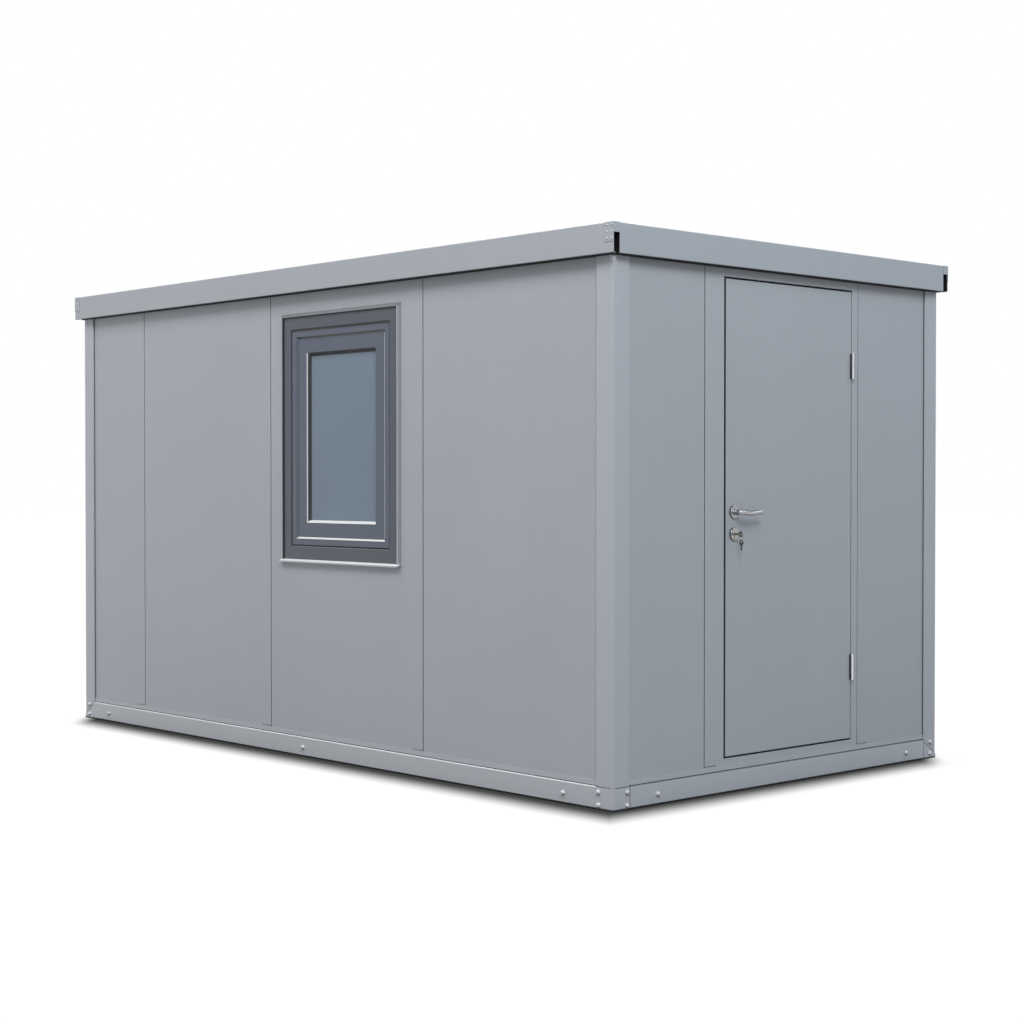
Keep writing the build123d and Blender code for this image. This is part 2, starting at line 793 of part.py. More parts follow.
finish(frame_hinges, "door_hinges_jamb_side")
with BuildPart() as leaf_hinges:
    for level in hinge_levels:
        with BuildSketch(Plane.XY.offset(level + hinge_bearing_gap / 2)):
            with Locations((hinge_axis_x, hinge_axis_y)):
                Circle(hinge_knuckle_diameter / 2)
            middle, size = between(
                (hinge_axis_x - hinge_plate_depth, hinge_axis_y - hinge_side_gap / 2),
                (hinge_axis_x, hinge_axis_y - plate_offset),
            )
            with Locations(middle):
                Rectangle(*size)
        extrude(amount=knuckle_half - hinge_bearing_gap / 2)
        with BuildSketch(Plane.XY.offset(level)):
            with Locations((hinge_axis_x, hinge_axis_y)):
                Circle(hinge_pin_diameter / 2 + hinge_clearance)
        extrude(amount=pin_reach, mode=Mode.SUBTRACT)
finish(leaf_hinges, "door_hinges_leaf_side")

# Roses: round cover plates for the lever and the lock on both faces of the leaf
with BuildPart() as handle_roses:
    for face, outward in ((leaf_face_x, 1), (leaf_back_x, -1)):
        with BuildSketch(Plane.YZ.offset(face)):
            with Locations((lock_y, lever_spindle_height), (lock_y, lock_z)):
                Circle(rose_diameter / 2)
        extrude(amount=outward * rose_thickness)
        outer_faces = handle_roses.faces().sort_by(Axis.X)
        chosen = outer_faces[-2:] if outward > 0 else outer_faces[:2]
        fillet([edge for face_found in chosen for edge in face_found.edges()], radius=rose_edge_radius)
    with BuildSketch(Plane.YZ.offset(leaf_back_x - rose_thickness - cut_overrun)):
        with Locations((lock_y, lever_spindle_height)):
            Circle(lever_diameter / 2 + lever_clearance)
        with Locations((lock_y, lock_z)):
            add(cylinder_hole)
    extrude(amount=leaf_thickness + 2 * rose_thickness + 2 * cut_overrun, mode=Mode.SUBTRACT)
finish(handle_roses, "handle_roses")

# Lock cylinder through the leaf, bored from outside for the plug
cylinder_start = leaf_back_x - rose_thickness - cylinder_proud
cylinder_end = leaf_face_x + rose_thickness + cylinder_proud
with BuildPart() as lock_cylinder:
    with BuildSketch(Plane.YZ.offset(cylinder_start)):
        with Locations((lock_y, lock_z)):
            add(cylinder_outline)
    extrude(amount=cylinder_end - cylinder_start)
    with BuildSketch(Plane.YZ.offset(cylinder_end)):
        with Locations((lock_y, lock_z)):
            Circle(plug_diameter / 2 + cylinder_clearance)
    extrude(amount=-(plug_length + cylinder_clearance), mode=Mode.SUBTRACT)
finish(lock_cylinder, "lock_cylinder")

# Lever: one bent round bar on each face, sagging a little, joined by a square spindle through the leaf
lever_bar_x = lever_projection - lever_diameter / 2
lever_sag_y = lock_y + lever_length * lever_sag_share
lever_sag_z = lever_spindle_height - lever_sag
with BuildPart() as lever_handle:
    for face, outward in ((leaf_face_x, 1), (leaf_back_x, -1)):
        with BuildLine() as lever_path:
            FilletPolyline(
                (face + outward * lever_clearance, lock_y, lever_spindle_height),
                (face + outward * lever_bar_x, lock_y, lever_spindle_height),
                (face + outward * lever_bar_x, lever_sag_y, lever_sag_z),
                (face + outward * lever_bar_x, lock_y + lever_length, lever_spindle_height),
                radius=[lever_bend_radius, lever_sag_radius],
            )
        with BuildSketch(Plane(origin=lever_path.line @ 0, z_dir=lever_path.line % 0)):
            Circle(lever_diameter / 2)
        sweep(path=lever_path.line)
    tips = lever_handle.edges().filter_by(GeomType.CIRCLE).sort_by(Axis.Y)[-2:]
    fillet(tips, radius=lever_tip_radius)
    middle, size = between(
        (leaf_back_x - lever_bend_radius, lock_y - spindle_size / 2, lever_spindle_height - spindle_size / 2),
        (leaf_face_x + lever_bend_radius, lock_y + spindle_size / 2, lever_spindle_height + spindle_size / 2),
    )
    with Locations(middle):
        Box(*size)
finish(lever_handle, "lever_handle")

# Key in the plug, with a ring and a spare key hanging from its bow
bow_x = cylinder_end + key_blade_length + key_bow_diameter * bow_overlap_share
ring_x = bow_x + key_hole_diameter / 2
ring_wire_radius = key_ring_wire / 2
ring_radius = key_ring_diameter / 2
ring_seat = ring_wire_radius * ring_seat_share
ring_z = lock_z - key_hole_diameter / 2 + ring_seat - ring_radius
spare_hole_z = ring_z - ring_radius + ring_seat - key_hole_diameter / 2
spare_bow_z = spare_hole_z - key_hole_diameter / 2
with BuildPart() as key_set:
    with BuildSketch(Plane.YZ.offset(cylinder_end - plug_length)):
        with Locations((lock_y, lock_z)):
            Circle(plug_diameter / 2)
    extrude(amount=plug_length)
    with BuildSketch(Plane.XZ.offset(-lock_y)):
        with Locations((cylinder_end + key_blade_length / 2, lock_z)):
            Rectangle(key_blade_length, key_blade_height)
        with Locations((bow_x, lock_z), (ring_x, spare_bow_z)):
            Circle(key_bow_diameter / 2)
        with Locations((ring_x, spare_bow_z - key_bow_diameter / 2 - spare_blade_length / 2 + key_sheet)):
            Rectangle(key_blade_height, spare_blade_length)
        with Locations((ring_x, lock_z), (ring_x, spare_hole_z)):
            Circle(key_hole_diameter / 2, mode=Mode.SUBTRACT)
    extrude(amount=key_sheet / 2, both=True)
    with BuildSketch(Plane.XZ.offset(-lock_y)):
        with Locations((ring_x, ring_z + ring_radius)):
            Circle(ring_wire_radius)
    revolve(axis=Axis((ring_x, lock_y, ring_z), (1, 0, 0)))
finish(key_set, "key_set")
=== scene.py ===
"""Office cabin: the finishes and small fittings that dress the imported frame, in the photograph's view.

Metres, +Z up. +X is the end with the door, and the window is in the long wall on the -Y side.
"""
import math

import bpy
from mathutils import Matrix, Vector


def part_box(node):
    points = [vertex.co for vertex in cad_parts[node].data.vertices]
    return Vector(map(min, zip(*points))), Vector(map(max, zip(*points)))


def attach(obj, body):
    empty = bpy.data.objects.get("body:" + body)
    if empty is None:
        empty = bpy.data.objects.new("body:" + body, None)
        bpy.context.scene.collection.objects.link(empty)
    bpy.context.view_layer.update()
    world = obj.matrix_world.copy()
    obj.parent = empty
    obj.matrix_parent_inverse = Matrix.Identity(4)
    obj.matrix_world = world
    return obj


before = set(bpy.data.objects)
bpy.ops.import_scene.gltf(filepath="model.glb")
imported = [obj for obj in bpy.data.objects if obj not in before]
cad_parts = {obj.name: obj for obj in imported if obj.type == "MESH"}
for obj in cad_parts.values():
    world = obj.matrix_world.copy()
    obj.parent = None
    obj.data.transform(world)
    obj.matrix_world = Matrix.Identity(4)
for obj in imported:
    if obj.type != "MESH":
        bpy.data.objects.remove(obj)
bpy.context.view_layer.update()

# Base rails: channels folded from steel sheet and powder coated grey, bolted to the corner feet.
# They carry the floor and the walls. The coat is a little cloudy and dusty low down. A painted shadow
# darkens the edge that stands on the ground, and the top ledges carry painted light: a pale painted
# highlight on the long rails and a painted shade on the end rails.
rail_nodes = ("base_rail_front", "base_rail_back", "base_rail_door_end", "base_rail_far_end")


def srgb(red, green, blue):
    """Linear colour of a display colour given as 0 to 255."""
    shares = (red / 255, green / 255, blue / 255)
    return (*(((share + 0.055) / 1.055) ** 2.4 for share in shares), 1.0)


def place(tree, kind, sockets=None, **settings):
    """Add a shader node, link or set its input sockets, and return it."""
    made = tree.nodes.new(kind)
    for setting, value in settings.items():
        setattr(made, setting, value)
    for name, value in (sockets or {}).items():
        if isinstance(value, bpy.types.NodeSocket):
            tree.links.new(value, made.inputs[name])
        else:
            made.inputs[name].default_value = value
    return made


def calc(tree, operation, *values, clamp=False):
    """Output of a math node on sockets or numbers."""
    made = place(tree, "ShaderNodeMath", dict(enumerate(values)), operation=operation, use_clamp=clamp)
    return made.outputs[0]


def mixed(tree, share, first, second):
    """Output of two colours mixed by a share."""
    return place(tree, "ShaderNodeMix", {0: share, 6: first, 7: second}, data_type="RGBA").outputs[2]


def scaled(tree, colour, level):
    """Output of a colour times a level."""
    return place(tree, "ShaderNodeVectorMath", {0: colour, "Scale": level}, operation="SCALE").outputs[0]


def noise(tree, vector, scale, detail=2.0, roughness=0.5):
    """Grey noise on a vector, from 0 to 1."""
    sockets = {"Vector": vector, "Scale": scale, "Detail": detail, "Roughness": roughness}
    return place(tree, "ShaderNodeTexNoise", sockets).outputs["Fac"]


def ramp(tree, value, start, end, low, high):
    """A value that goes smoothly from low at start to high at end."""
    sockets = {"Value": value, "From Min": start, "From Max": end, "To Min": low, "To Max": high}
    return place(tree, "ShaderNodeMapRange", sockets, interpolation_type="SMOOTHSTEP").outputs["Result"]


def shader_group(name, inputs, outputs):
    """A new node group with named sockets, and its input and output nodes."""
    tree = bpy.data.node_groups.new(name, "ShaderNodeTree")
    for socket, kind in inputs.items():
        tree.interface.new_socket(name=socket, in_out="INPUT", socket_type=f"NodeSocket{kind}")
    for socket, kind in outputs.items():
        tree.interface.new_socket(name=socket, in_out="OUTPUT", socket_type=f"NodeSocket{kind}")
    return tree, tree.nodes.new("NodeGroupInput").outputs, tree.nodes.new("NodeGroupOutput").inputs


def new_material(name):
    """A node material with a Principled shader; returns the material, its tree and the shader."""
    material = bpy.data.materials.new(name)
    material.use_nodes = True
    return material, material.node_tree, material.node_tree.nodes["Principled BSDF"]


def dress(material, *names):
    """Give CAD nodes a finish."""
    for name in names:
        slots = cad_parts[name].data.materials
        for index in range(len(slots)):
            slots[index] = material


# Coat on sheet metal: the powder coat that rails, posts, walls and fascias share, sprayed on and baked.
# It is cloudy, with upright run marks, dust near the ground and the slight waves of the sheet.
dust_top = 1.1
run_stretch = (14.0, 14.0, 0.5)
wave_depth = 0.0016
peel_depth = 0.000012
coat_group, coat_in, coat_out = shader_group(
    "coat on sheet",
    {"Colour": "Color", "Dust Colour": "Color", "Cloud": "Float", "Dust": "Float", "Gloss": "Float"},
    {"Colour": "Color", "Roughness": "Float", "Height": "Float"},
)
coat_place = place(coat_group, "ShaderNodeTexCoord").outputs["Object"]
run_place = place(coat_group, "ShaderNodeMapping", {"Vector": coat_place, "Scale": run_stretch})
coat_height = place(coat_group, "ShaderNodeSeparateXYZ", {0: coat_place}).outputs["Z"]
coat_cloud = noise(coat_group, coat_place, 1.3, 3.0)
coat_runs = noise(coat_group, run_place.outputs[0], 1.0, 3.0)
coat_peel = noise(coat_group, coat_place, 260.0, 1.0)
cloud_share = calc(coat_group, "MULTIPLY", calc(coat_group, "SUBTRACT", coat_cloud, 0.5), coat_in["Cloud"])
runs_share = calc(coat_group, "MULTIPLY", calc(coat_group, "SUBTRACT", coat_runs, 0.5), 0.05)
coat_level = calc(coat_group, "ADD", calc(coat_group, "ADD", cloud_share, runs_share), 1.0)
coat_colour = scaled(coat_group, coat_in["Colour"], coat_level)
dust_low = ramp(coat_group, coat_height, 0.0, dust_top, 1.0, 0.0)
dust_spots = ramp(coat_group, noise(coat_group, coat_place, 3.0, 3.0), 0.25, 0.75, 0.75, 1.0)
dust_spread = calc(coat_group, "MULTIPLY", dust_low, dust_spots)
dust_share = calc(coat_group, "MULTIPLY", dust_spread, coat_in["Dust"])
dusty_colour = mixed(coat_group, dust_share, coat_colour, coat_in["Dust Colour"])
coat_group.links.new(dusty_colour, coat_out["Colour"])
gloss_change = calc(coat_group, "MULTIPLY", calc(coat_group, "SUBTRACT", coat_peel, 0.5), 0.12)
dusty_gloss = calc(coat_group, "MULTIPLY_ADD", dust_share, 0.3, coat_in["Gloss"])
coat_group.links.new(calc(coat_group, "ADD", dusty_gloss, gloss_change, clamp=True), coat_out["Roughness"])
sheet_wave = calc(coat_group, "MULTIPLY", noise(coat_group, coat_place, 2.2, 1.0), wave_depth)
peel_height = calc(coat_group, "MULTIPLY", coat_peel, peel_depth)
coat_group.links.new(calc(coat_group, "ADD", sheet_wave, peel_height), coat_out["Height"])

# Inner side: the room linings, coated in another colour than the outside, the door leaf's dark edges and
# zones of painted shade inside the fascias' hoods and at the rails' foot. The mask covers what lies within
# a reach of the cabin's middle.
inside_group, inside_in, inside_out = shader_group("inner side", {"Reach": "Vector"}, {"Mask": "Float"})
inside_place = place(inside_group, "ShaderNodeTexCoord").outputs["Object"]
inside_axes = place(inside_group, "ShaderNodeSeparateXYZ", {0: inside_place}).outputs
inside_reach = place(inside_group, "ShaderNodeSeparateXYZ", {0: inside_in["Reach"]}).outputs
inside_sides = [
    calc(inside_group, "LESS_THAN", calc(inside_group, "ABSOLUTE", inside_axes[axis]), inside_reach[axis])
    for axis in "XYZ"
]
inside_plan = calc(inside_group, "MULTIPLY", inside_sides[0], inside_sides[1])
inside_group.links.new(calc(inside_group, "MULTIPLY", inside_plan, inside_sides[2]), inside_out["Mask"])

# Lie of a face: masks of the faces that look up and of those that look down, used for painted light: mostly
# a pale painted highlight on faces that look up and a painted shade on faces that look down. The two masks
# serve the rails, the bolts, the window and its trim.
lie_group, _, lie_out = shader_group("lie of a face", {}, {"Up": "Float", "Under": "Float"})
lie_normal = place(lie_group, "ShaderNodeNewGeometry").outputs["Normal"]
lie_rise = place(lie_group, "ShaderNodeSeparateXYZ", {0: lie_normal}).outputs["Z"]
lie_group.links.new(ramp(lie_group, lie_rise, 0.25, 0.6, 0.0, 1.0), lie_out["Up"])
lie_group.links.new(ramp(lie_group, lie_rise, -0.6, 0.2, 1.0, 0.0), lie_out["Under"])
coat_dust = srgb(132, 136, 139)
coat_edge_radius = 0.0015


def coated(name, colour, cloud=0.08, dust_and_highlight=0.1, gloss=0.42, zones=(), under=None, paint=None):
    """Coated sheet steel: a satin coat over softly rounded edges, with zones of other colours, some of them
    painted shade, and a painted shade on faces that look down when a colour for it is given.
    """
    material, tree, shader = new_material(name)
    painted = colour
    for zone_colour, reach in zones:
        zone = place(tree, "ShaderNodeGroup", {"Reach": reach}, node_tree=inside_group)
        painted = mixed(tree, zone.outputs["Mask"], painted, zone_colour)
    if under:
        lie = place(tree, "ShaderNodeGroup", node_tree=lie_group)
        painted = mixed(tree, lie.outputs["Under"], painted, under)
    if paint:
        painted = paint(tree, painted)
    coat = place(tree, "ShaderNodeGroup", {"Colour": painted}, node_tree=coat_group)
    coat.inputs["Dust Colour"].default_value = coat_dust
    coat.inputs["Cloud"].default_value = cloud
    coat.inputs["Dust"].default_value = dust_and_highlight
    coat.inputs["Gloss"].default_value = gloss
    edges = place(tree, "ShaderNodeBevel", {"Radius": coat_edge_radius}, samples=4)
    relief = place(tree, "ShaderNodeBump", {"Height": coat.outputs["Height"], "Normal": edges.outputs[0]})
    relief.inputs["Strength"].default_value = 1.0
    relief.inputs["Distance"].default_value = 1.0
    tree.links.new(coat.outputs["Colour"], shader.inputs["Base Color"])
    tree.links.new(coat.outputs["Roughness"], shader.inputs["Roughness"])
    tree.links.new(relief.outputs["Normal"], shader.inputs["Normal"])
    return material


beyond_cabin = 9.0
# Painted shadow: a near-black band at the rails' foot stands for the shade where the cabin meets the floor.
contact_shadow_rise = 0.0085
contact_shadow_band = (srgb(14, 15, 17), (beyond_cabin, beyond_cabin, contact_shadow_rise))
rail_grey = srgb(170, 174, 179)
# Painted light on the rails' top ledges: a pale highlight on the long sides and a dark shade on the ends.
long_ledge_highlight = srgb(214, 216, 218)
end_ledge_shade = srgb(112, 115, 119)
long_ledge_from_middle = 1.0


def ledge_painted_light(tree, colour):
    """Rail colour, with a pale painted highlight on the long rails' ledge and a painted shade on the end
    rails' ledge.
    """
    spot = place(tree, "ShaderNodeTexCoord").outputs["Object"]
    across = calc(tree, "ABSOLUTE", place(tree, "ShaderNodeSeparateXYZ", {0: spot}).outputs["Y"])
    on_long_rail = calc(tree, "GREATER_THAN", across, long_ledge_from_middle)
    ledge = mixed(tree, on_long_rail, end_ledge_shade, long_ledge_highlight)
    lie = place(tree, "ShaderNodeGroup", node_tree=lie_group)
    return mixed(tree, lie.outputs["Up"], colour, ledge)


rail_coat = coated("rail coat", rail_grey, cloud=0.05, gloss=0.34, zones=[contact_shadow_band], paint=ledge_painted_light)
dress(rail_coat, *rail_nodes)

# Rail bolts: round-headed steel bolts with a grey zinc-flake coat, through the rails into the joists.
# Three on each long side and two on each end, at half the height of the rail. Their heads carry a painted
# shade on the faces that look down.
bolt_radius = 0.0088
bolt_rise = 0.009
bolt_edge = 0.004
bolt_flange = 0.0115
bolt_washer = 0.0014
bolt_socket = 0.0034
bolt_socket_depth = 0.004
bolt_draft = 0.0002
bolt_level = 0.044
long_rail_stations = (0.279, 2.032, 3.787)
end_rail_stations = (0.257, 1.932)


def lathe(profile, centre, outward, segments=20):
    """Mesh of a profile of radius and height, turned about an axis through a centre."""
    axis = Vector(outward).normalized()
    side = axis.orthogonal().normalized()
    across = axis.cross(side)
    points = []
    rings = []
    for radius, height in profile:
        base = Vector(centre) + axis * height
        count = segments if radius > 0 else 1
        rings.append(range(len(points), len(points) + count))
        for step in range(count):
            turn = 2 * math.pi * step / count
            points.append(base + radius * (math.cos(turn) * side + math.sin(turn) * across))
    faces = []
    for lower, upper in zip(rings, rings[1:]):
        for step in range(segments):
            after = (step + 1) % segments
            if len(upper) == 1:
                faces.append((lower[step], lower[after], upper[0]))
            elif len(lower) == 1:
                faces.append((lower[0], upper[after], upper[step]))
            else:
                faces.append((lower[step], lower[after], upper[after], upper[step]))
    return points, faces


def make_piece(name, shapes, material, body, sharp_degrees=40):
    """One object of joined meshes that rides on a body."""
    points = []
    faces = []
    for shape_points, shape_faces in shapes:
        start = len(points)
        points += shape_points
        faces += [tuple(start + index for index in face) for face in shape_faces]
    mesh = bpy.data.meshes.new(name)
    mesh.from_pydata(points, [], faces)
    mesh.polygons.foreach_set("use_smooth", [True] * len(mesh.polygons))
    mesh.set_sharp_from_angle(angle=math.radians(sharp_degrees))
    mesh.materials.append(material)
    piece = bpy.data.objects.new(name, mesh)
    bpy.context.scene.collection.objects.link(piece)
    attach(piece, body)


def round_bolt(centre, outward):
    """A round head with a rounded edge and a socket, on a thin washer."""
    washer = [(bolt_flange, 0), (bolt_flange, bolt_washer), (bolt_radius, bolt_washer + bolt_draft)]
    edge = [
        (bolt_radius - bolt_edge * (1 - math.cos(turn)), bolt_rise - bolt_edge * (1 - math.sin(turn)))
        for turn in (0.0, 0.4, 0.8, 1.2, 1.57)
    ]
    socket_foot = bolt_rise - bolt_socket_depth
    socket = [(bolt_socket, bolt_rise), (bolt_socket - bolt_draft, socket_foot), (0, socket_foot)]
    return lathe([*washer, *edge, *socket], centre, outward)


# Painted shade: the bolt coat, also used for the roof screws and rivets, darkens faces that look down.
bolt_painted_shade = srgb(70, 72, 75)
bolt_coat = coated("bolt coat", srgb(214, 216, 219), cloud=0.04, dust_and_highlight=0.0, gloss=0.3, under=bolt_painted_shade)
corner_low, corner_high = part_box("corner_foot_front_door")[0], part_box("corner_foot_back_door")[1]
far_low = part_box("corner_foot_front_far")[0]
rail_bolts = []
for toward in (-1, 1):
    for station in long_rail_stations:
        on_long_rail = (corner_high.x - station, toward * corner_high.y, bolt_level)
        rail_bolts.append(round_bolt(on_long_rail, (0, toward, 0)))
    for station in end_rail_stations:
        on_end_rail = (toward * corner_high.x, corner_low.y + station, bolt_level)
        rail_bolts.append(round_bolt(on_end_rail, (toward, 0, 0)))
make_piece("rail_bolts", rail_bolts, bolt_coat, "cabin")

# Corner feet: folded steel shoes that wrap the foot of each post, coated like the rails. Two bolts
# on each outer face hold shoe and post together, and dark mastic closes the joints with post and rail.
square_feet = ("corner_foot_front_door", "corner_foot_back_far")
sloping_feet = ("corner_foot_front_far", "corner_foot_back_door")
dress(rail_coat, *square_feet, *sloping_feet)
square_from_corner, square_levels = 0.080, (0.070, 0.018)
sloping_from_corner, sloping_levels = 0.050, (0.077, 0.024)


def corner_signs(name):
    """Signs, along X and along Y, of the corner that a foot stands at."""
    middle = (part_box(name)[0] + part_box(name)[1]) / 2
    return math.copysign(1, middle.x), math.copysign(1, middle.y)


foot_bolts = []
for names, from_corner, levels in (
    (square_feet, square_from_corner, square_levels),
    (sloping_feet, sloping_from_corner, sloping_levels),
):
    for name in names:
        toward_x, toward_y = corner_signs(name)
        for level in levels:
            along_x = toward_x * (corner_high.x - from_corner)
            along_y = toward_y * (corner_high.y - from_corner)
            foot_bolts.append(round_bolt((along_x, toward_y * corner_high.y, level), (0, toward_y, 0)))
            foot_bolts.append(round_bolt((toward_x * corner_high.x, along_y, level), (toward_x, 0, 0)))
make_piece("foot_bolts", foot_bolts, bolt_coat, "cabin")
rubber, rubber_tree, rubber_shader = new_material("seal rubber")
rubber_place = place(rubber_tree, "ShaderNodeTexCoord").outputs["Object"]
rubber_bloom = noise(rubber_tree, rubber_place, 60.0, 4.0)
rubber_colour = mixed(rubber_tree, rubber_bloom, srgb(17, 18, 20), srgb(34, 35, 37))
rubber_tree.links.new(rubber_colour, rubber_shader.inputs["Base Color"])
rubber_gloss = ramp(rubber_tree, rubber_bloom, 0.3, 0.7, 0.55, 0.8)
rubber_tree.links.new(rubber_gloss, rubber_shader.inputs["Roughness"])


def bar(profile, start, end, across):
    """Mesh of a flat profile, points of (across, outward), drawn straight from start to end."""
    along = (Vector(end) - Vector(start)).normalized()
    across = Vector(across).normalized()
    outward = across.cross(along)
    points = [Vector(base) + across * u + outward * v for base in (start, end) for u, v in profile]
    count = len(profile)
    faces = [(i, (i + 1) % count, count + (i + 1) % count, count + i) for i in range(count)]
    return points, [*faces, tuple(reversed(range(count))), tuple(range(count, 2 * count))]


def oblong(start, end, back, front):
    """Profile of a flat strip with four square corners, drawn from one side to the other."""
    return [(start, back), (end, back), (end, front), (start, front)]


post_bend = 0.015
mastic_rise = 0.0014
mastic_depth = 0.0015
mastic_bed = 0.002
mastic_foot = 0.001
mastic_swell = 1.00012
rail_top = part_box("base_rail_front")[1].z
rail_end_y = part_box("base_rail_door_end")[1].y
foot_end_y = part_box("corner_foot_back_door")[0].y
mastic_lines = []
for toward_x in (-1, 1):
    for toward_y in (-1, 1):
        joint_y = toward_y * (rail_end_y + foot_end_y) / 2
        half = (foot_end_y - rail_end_y) / 2
        face_x = toward_x * (corner_high.x - mastic_depth)
        foot, head = ((face_x, joint_y, level) for level in (mastic_foot, rail_top))
        mastic_lines.append(bar(oblong(-half, half, -mastic_bed, 0), foot, head, (0, toward_x, 0)))
for name in square_feet:
    toward_x, toward_y = corner_signs(name)
    bend_x = corner_high.x - post_bend
    bend_y = corner_high.y - post_bend
    route = [(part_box(name)[1].x if toward_x < 0 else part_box(name)[0].x, toward_y * corner_high.y)]
    for turn in range(0, 91, 10):
        across = post_bend * math.sin(math.radians(turn))
        outward = post_bend * math.cos(math.radians(turn))
        route.append((toward_x * (bend_x + across), toward_y * (bend_y + outward)))
    route.append((toward_x * corner_high.x, toward_y * foot_end_y))
    points = []
    for x, y in route:
        for grow, level in ((1.0, -mastic_rise), (mastic_swell, 0.0), (1.0, mastic_rise)):
            points.append(Vector((x * grow, y * grow, rail_top + level)))
    faces = []
    for step in range(len(route) - 1):
        for row in range(2):
            start = step * 3 + row
            faces.append((start, start + 3, start + 4, start + 1))
    mastic_lines.append((points, faces))
make_piece("foot_mastic", mastic_lines, rubber, "cabin")

# Floor joists: galvanised channels from rail to rail under the floor, hung in the rails.
# The zinc shows broad crystals.
zinc_relief = 0.00003
zinc_group, zinc_in, zinc_out = shader_group(
    "zinc crystals",
    {"Colour": "Color", "Crystal Scale": "Float", "Gloss": "Float"},
    {"Colour": "Color", "Roughness": "Float", "Height": "Float"},
)
zinc_place = place(zinc_group, "ShaderNodeTexCoord").outputs["Object"]
zinc_bend = noise(zinc_group, zinc_place, 40.0, 2.0)
zinc_sockets = {"Vector": zinc_place, "Scale": zinc_in["Crystal Scale"]}
zinc_cells = place(zinc_group, "ShaderNodeTexVoronoi", zinc_sockets).outputs["Color"]
zinc_grey = place(zinc_group, "ShaderNodeSeparateColor", {0: zinc_cells}).outputs[0]
zinc_base = calc(zinc_group, "MULTIPLY_ADD", zinc_bend, 0.12, 0.8)
zinc_level = calc(zinc_group, "MULTIPLY_ADD", zinc_grey, 0.24, zinc_base)
zinc_group.links.new(scaled(zinc_group, zinc_in["Colour"], zinc_level), zinc_out["Colour"])
zinc_gloss = calc(zinc_group, "MULTIPLY_ADD", zinc_grey, 0.16, zinc_in["Gloss"])
zinc_group.links.new(zinc_gloss, zinc_out["Roughness"])
zinc_group.links.new(calc(zinc_group, "MULTIPLY", zinc_bend, zinc_relief), zinc_out["Height"])
shade_turn_start, shade_turn_end = -0.62, -0.3


def zinc_plated(name, colour, crystal_scale, gloss, painted_tone=None):
    """Zinc-plated steel, given a painted shade where a face turns towards +Y."""
    material, tree, shader = new_material(name)
    zinc = place(tree, "ShaderNodeGroup", node_tree=zinc_group)
    zinc.inputs["Colour"].default_value = colour
    if painted_tone:
        facing = place(tree, "ShaderNodeTexCoord").outputs["Normal"]
        toward_y = place(tree, "ShaderNodeSeparateXYZ", {0: facing}).outputs["Y"]
        shade_share = ramp(tree, toward_y, shade_turn_start, shade_turn_end, 0.0, 1.0)
        tree.links.new(mixed(tree, shade_share, colour, painted_tone), zinc.inputs["Colour"])
    zinc.inputs["Crystal Scale"].default_value = crystal_scale
    zinc.inputs["Gloss"].default_value = gloss
    relief = place(tree, "ShaderNodeBump", {"Height": zinc.outputs["Height"], "Distance": 1.0})
    shader.inputs["Metallic"].default_value = 1.0
    shader.inputs["Specular Tint"].default_value = (0.1, 0.1, 0.1, 1.0)
    tree.links.new(zinc.outputs["Colour"], shader.inputs["Base Color"])
    tree.links.new(zinc.outputs["Roughness"], shader.inputs["Roughness"])
    tree.links.new(relief.outputs["Normal"], shader.inputs["Normal"])
    return material


dress(zinc_plated("joist zinc", srgb(170, 176, 180), 60.0, 0.38), "floor_joists")

# Floor deck: building boards under grey sheet flooring, laid in lengths with welded seams.
# The flooring has a fine speckle in three greys.
deck_material, deck_tree, deck_shader = new_material("sheet flooring")
deck_place = place(deck_tree, "ShaderNodeTexCoord").outputs["Object"]
deck_speckle = place(deck_tree, "ShaderNodeTexVoronoi", {"Vector": deck_place, "Scale": 420.0})
deck_grey = place(deck_tree, "ShaderNodeSeparateColor", {0: deck_speckle.outputs["Color"]}).outputs[0]
deck_flecks = ramp(deck_tree, deck_grey, 0.72, 0.8, 0.0, 0.6)
deck_patches = noise(deck_tree, deck_place, 2.0, 4.0)
deck_cloud = mixed(deck_tree, deck_patches, srgb(118, 117, 115), srgb(138, 136, 132))
deck_lengths = {"Vector": deck_place, "Scale": 0.157}
deck_seams = place(deck_tree, "ShaderNodeTexWave", deck_lengths, wave_profile="SAW")
deck_groove = ramp(deck_tree, deck_seams.outputs["Fac"], 0.0, 0.004, 1.0, 0.0)
deck_plain = mixed(deck_tree, deck_flecks, deck_cloud, srgb(172, 170, 166))
deck_colour = mixed(deck_tree, deck_groove, deck_plain, srgb(88, 87, 86))
deck_tree.links.new(deck_colour, deck_shader.inputs["Base Color"])
deck_gloss = ramp(deck_tree, noise(deck_tree, deck_place, 6.0, 4.0), 0.3, 0.7, 0.42, 0.58)
deck_tree.links.new(deck_gloss, deck_shader.inputs["Roughness"])
deck_relief = place(deck_tree, "ShaderNodeBump", {"Height": deck_grey, "Distance": 0.0002, "Strength": 0.5})
deck_tree.links.new(deck_relief.outputs["Normal"], deck_shader.inputs["Normal"])
dress(deck_material, "floor_deck")

# Corner posts: steel angles folded with a rounded outer corner and a lip along each edge.
# They carry the roof, stand 10 mm proud of the panels and are coated a shade lighter than these.
post_nodes = (
    "corner_post_front_door", "corner_post_front_far",
    "corner_post_back_door", "corner_post_back_far",
)
dress(coated("post coat", srgb(165, 170, 176), cloud=0.06), *post_nodes)

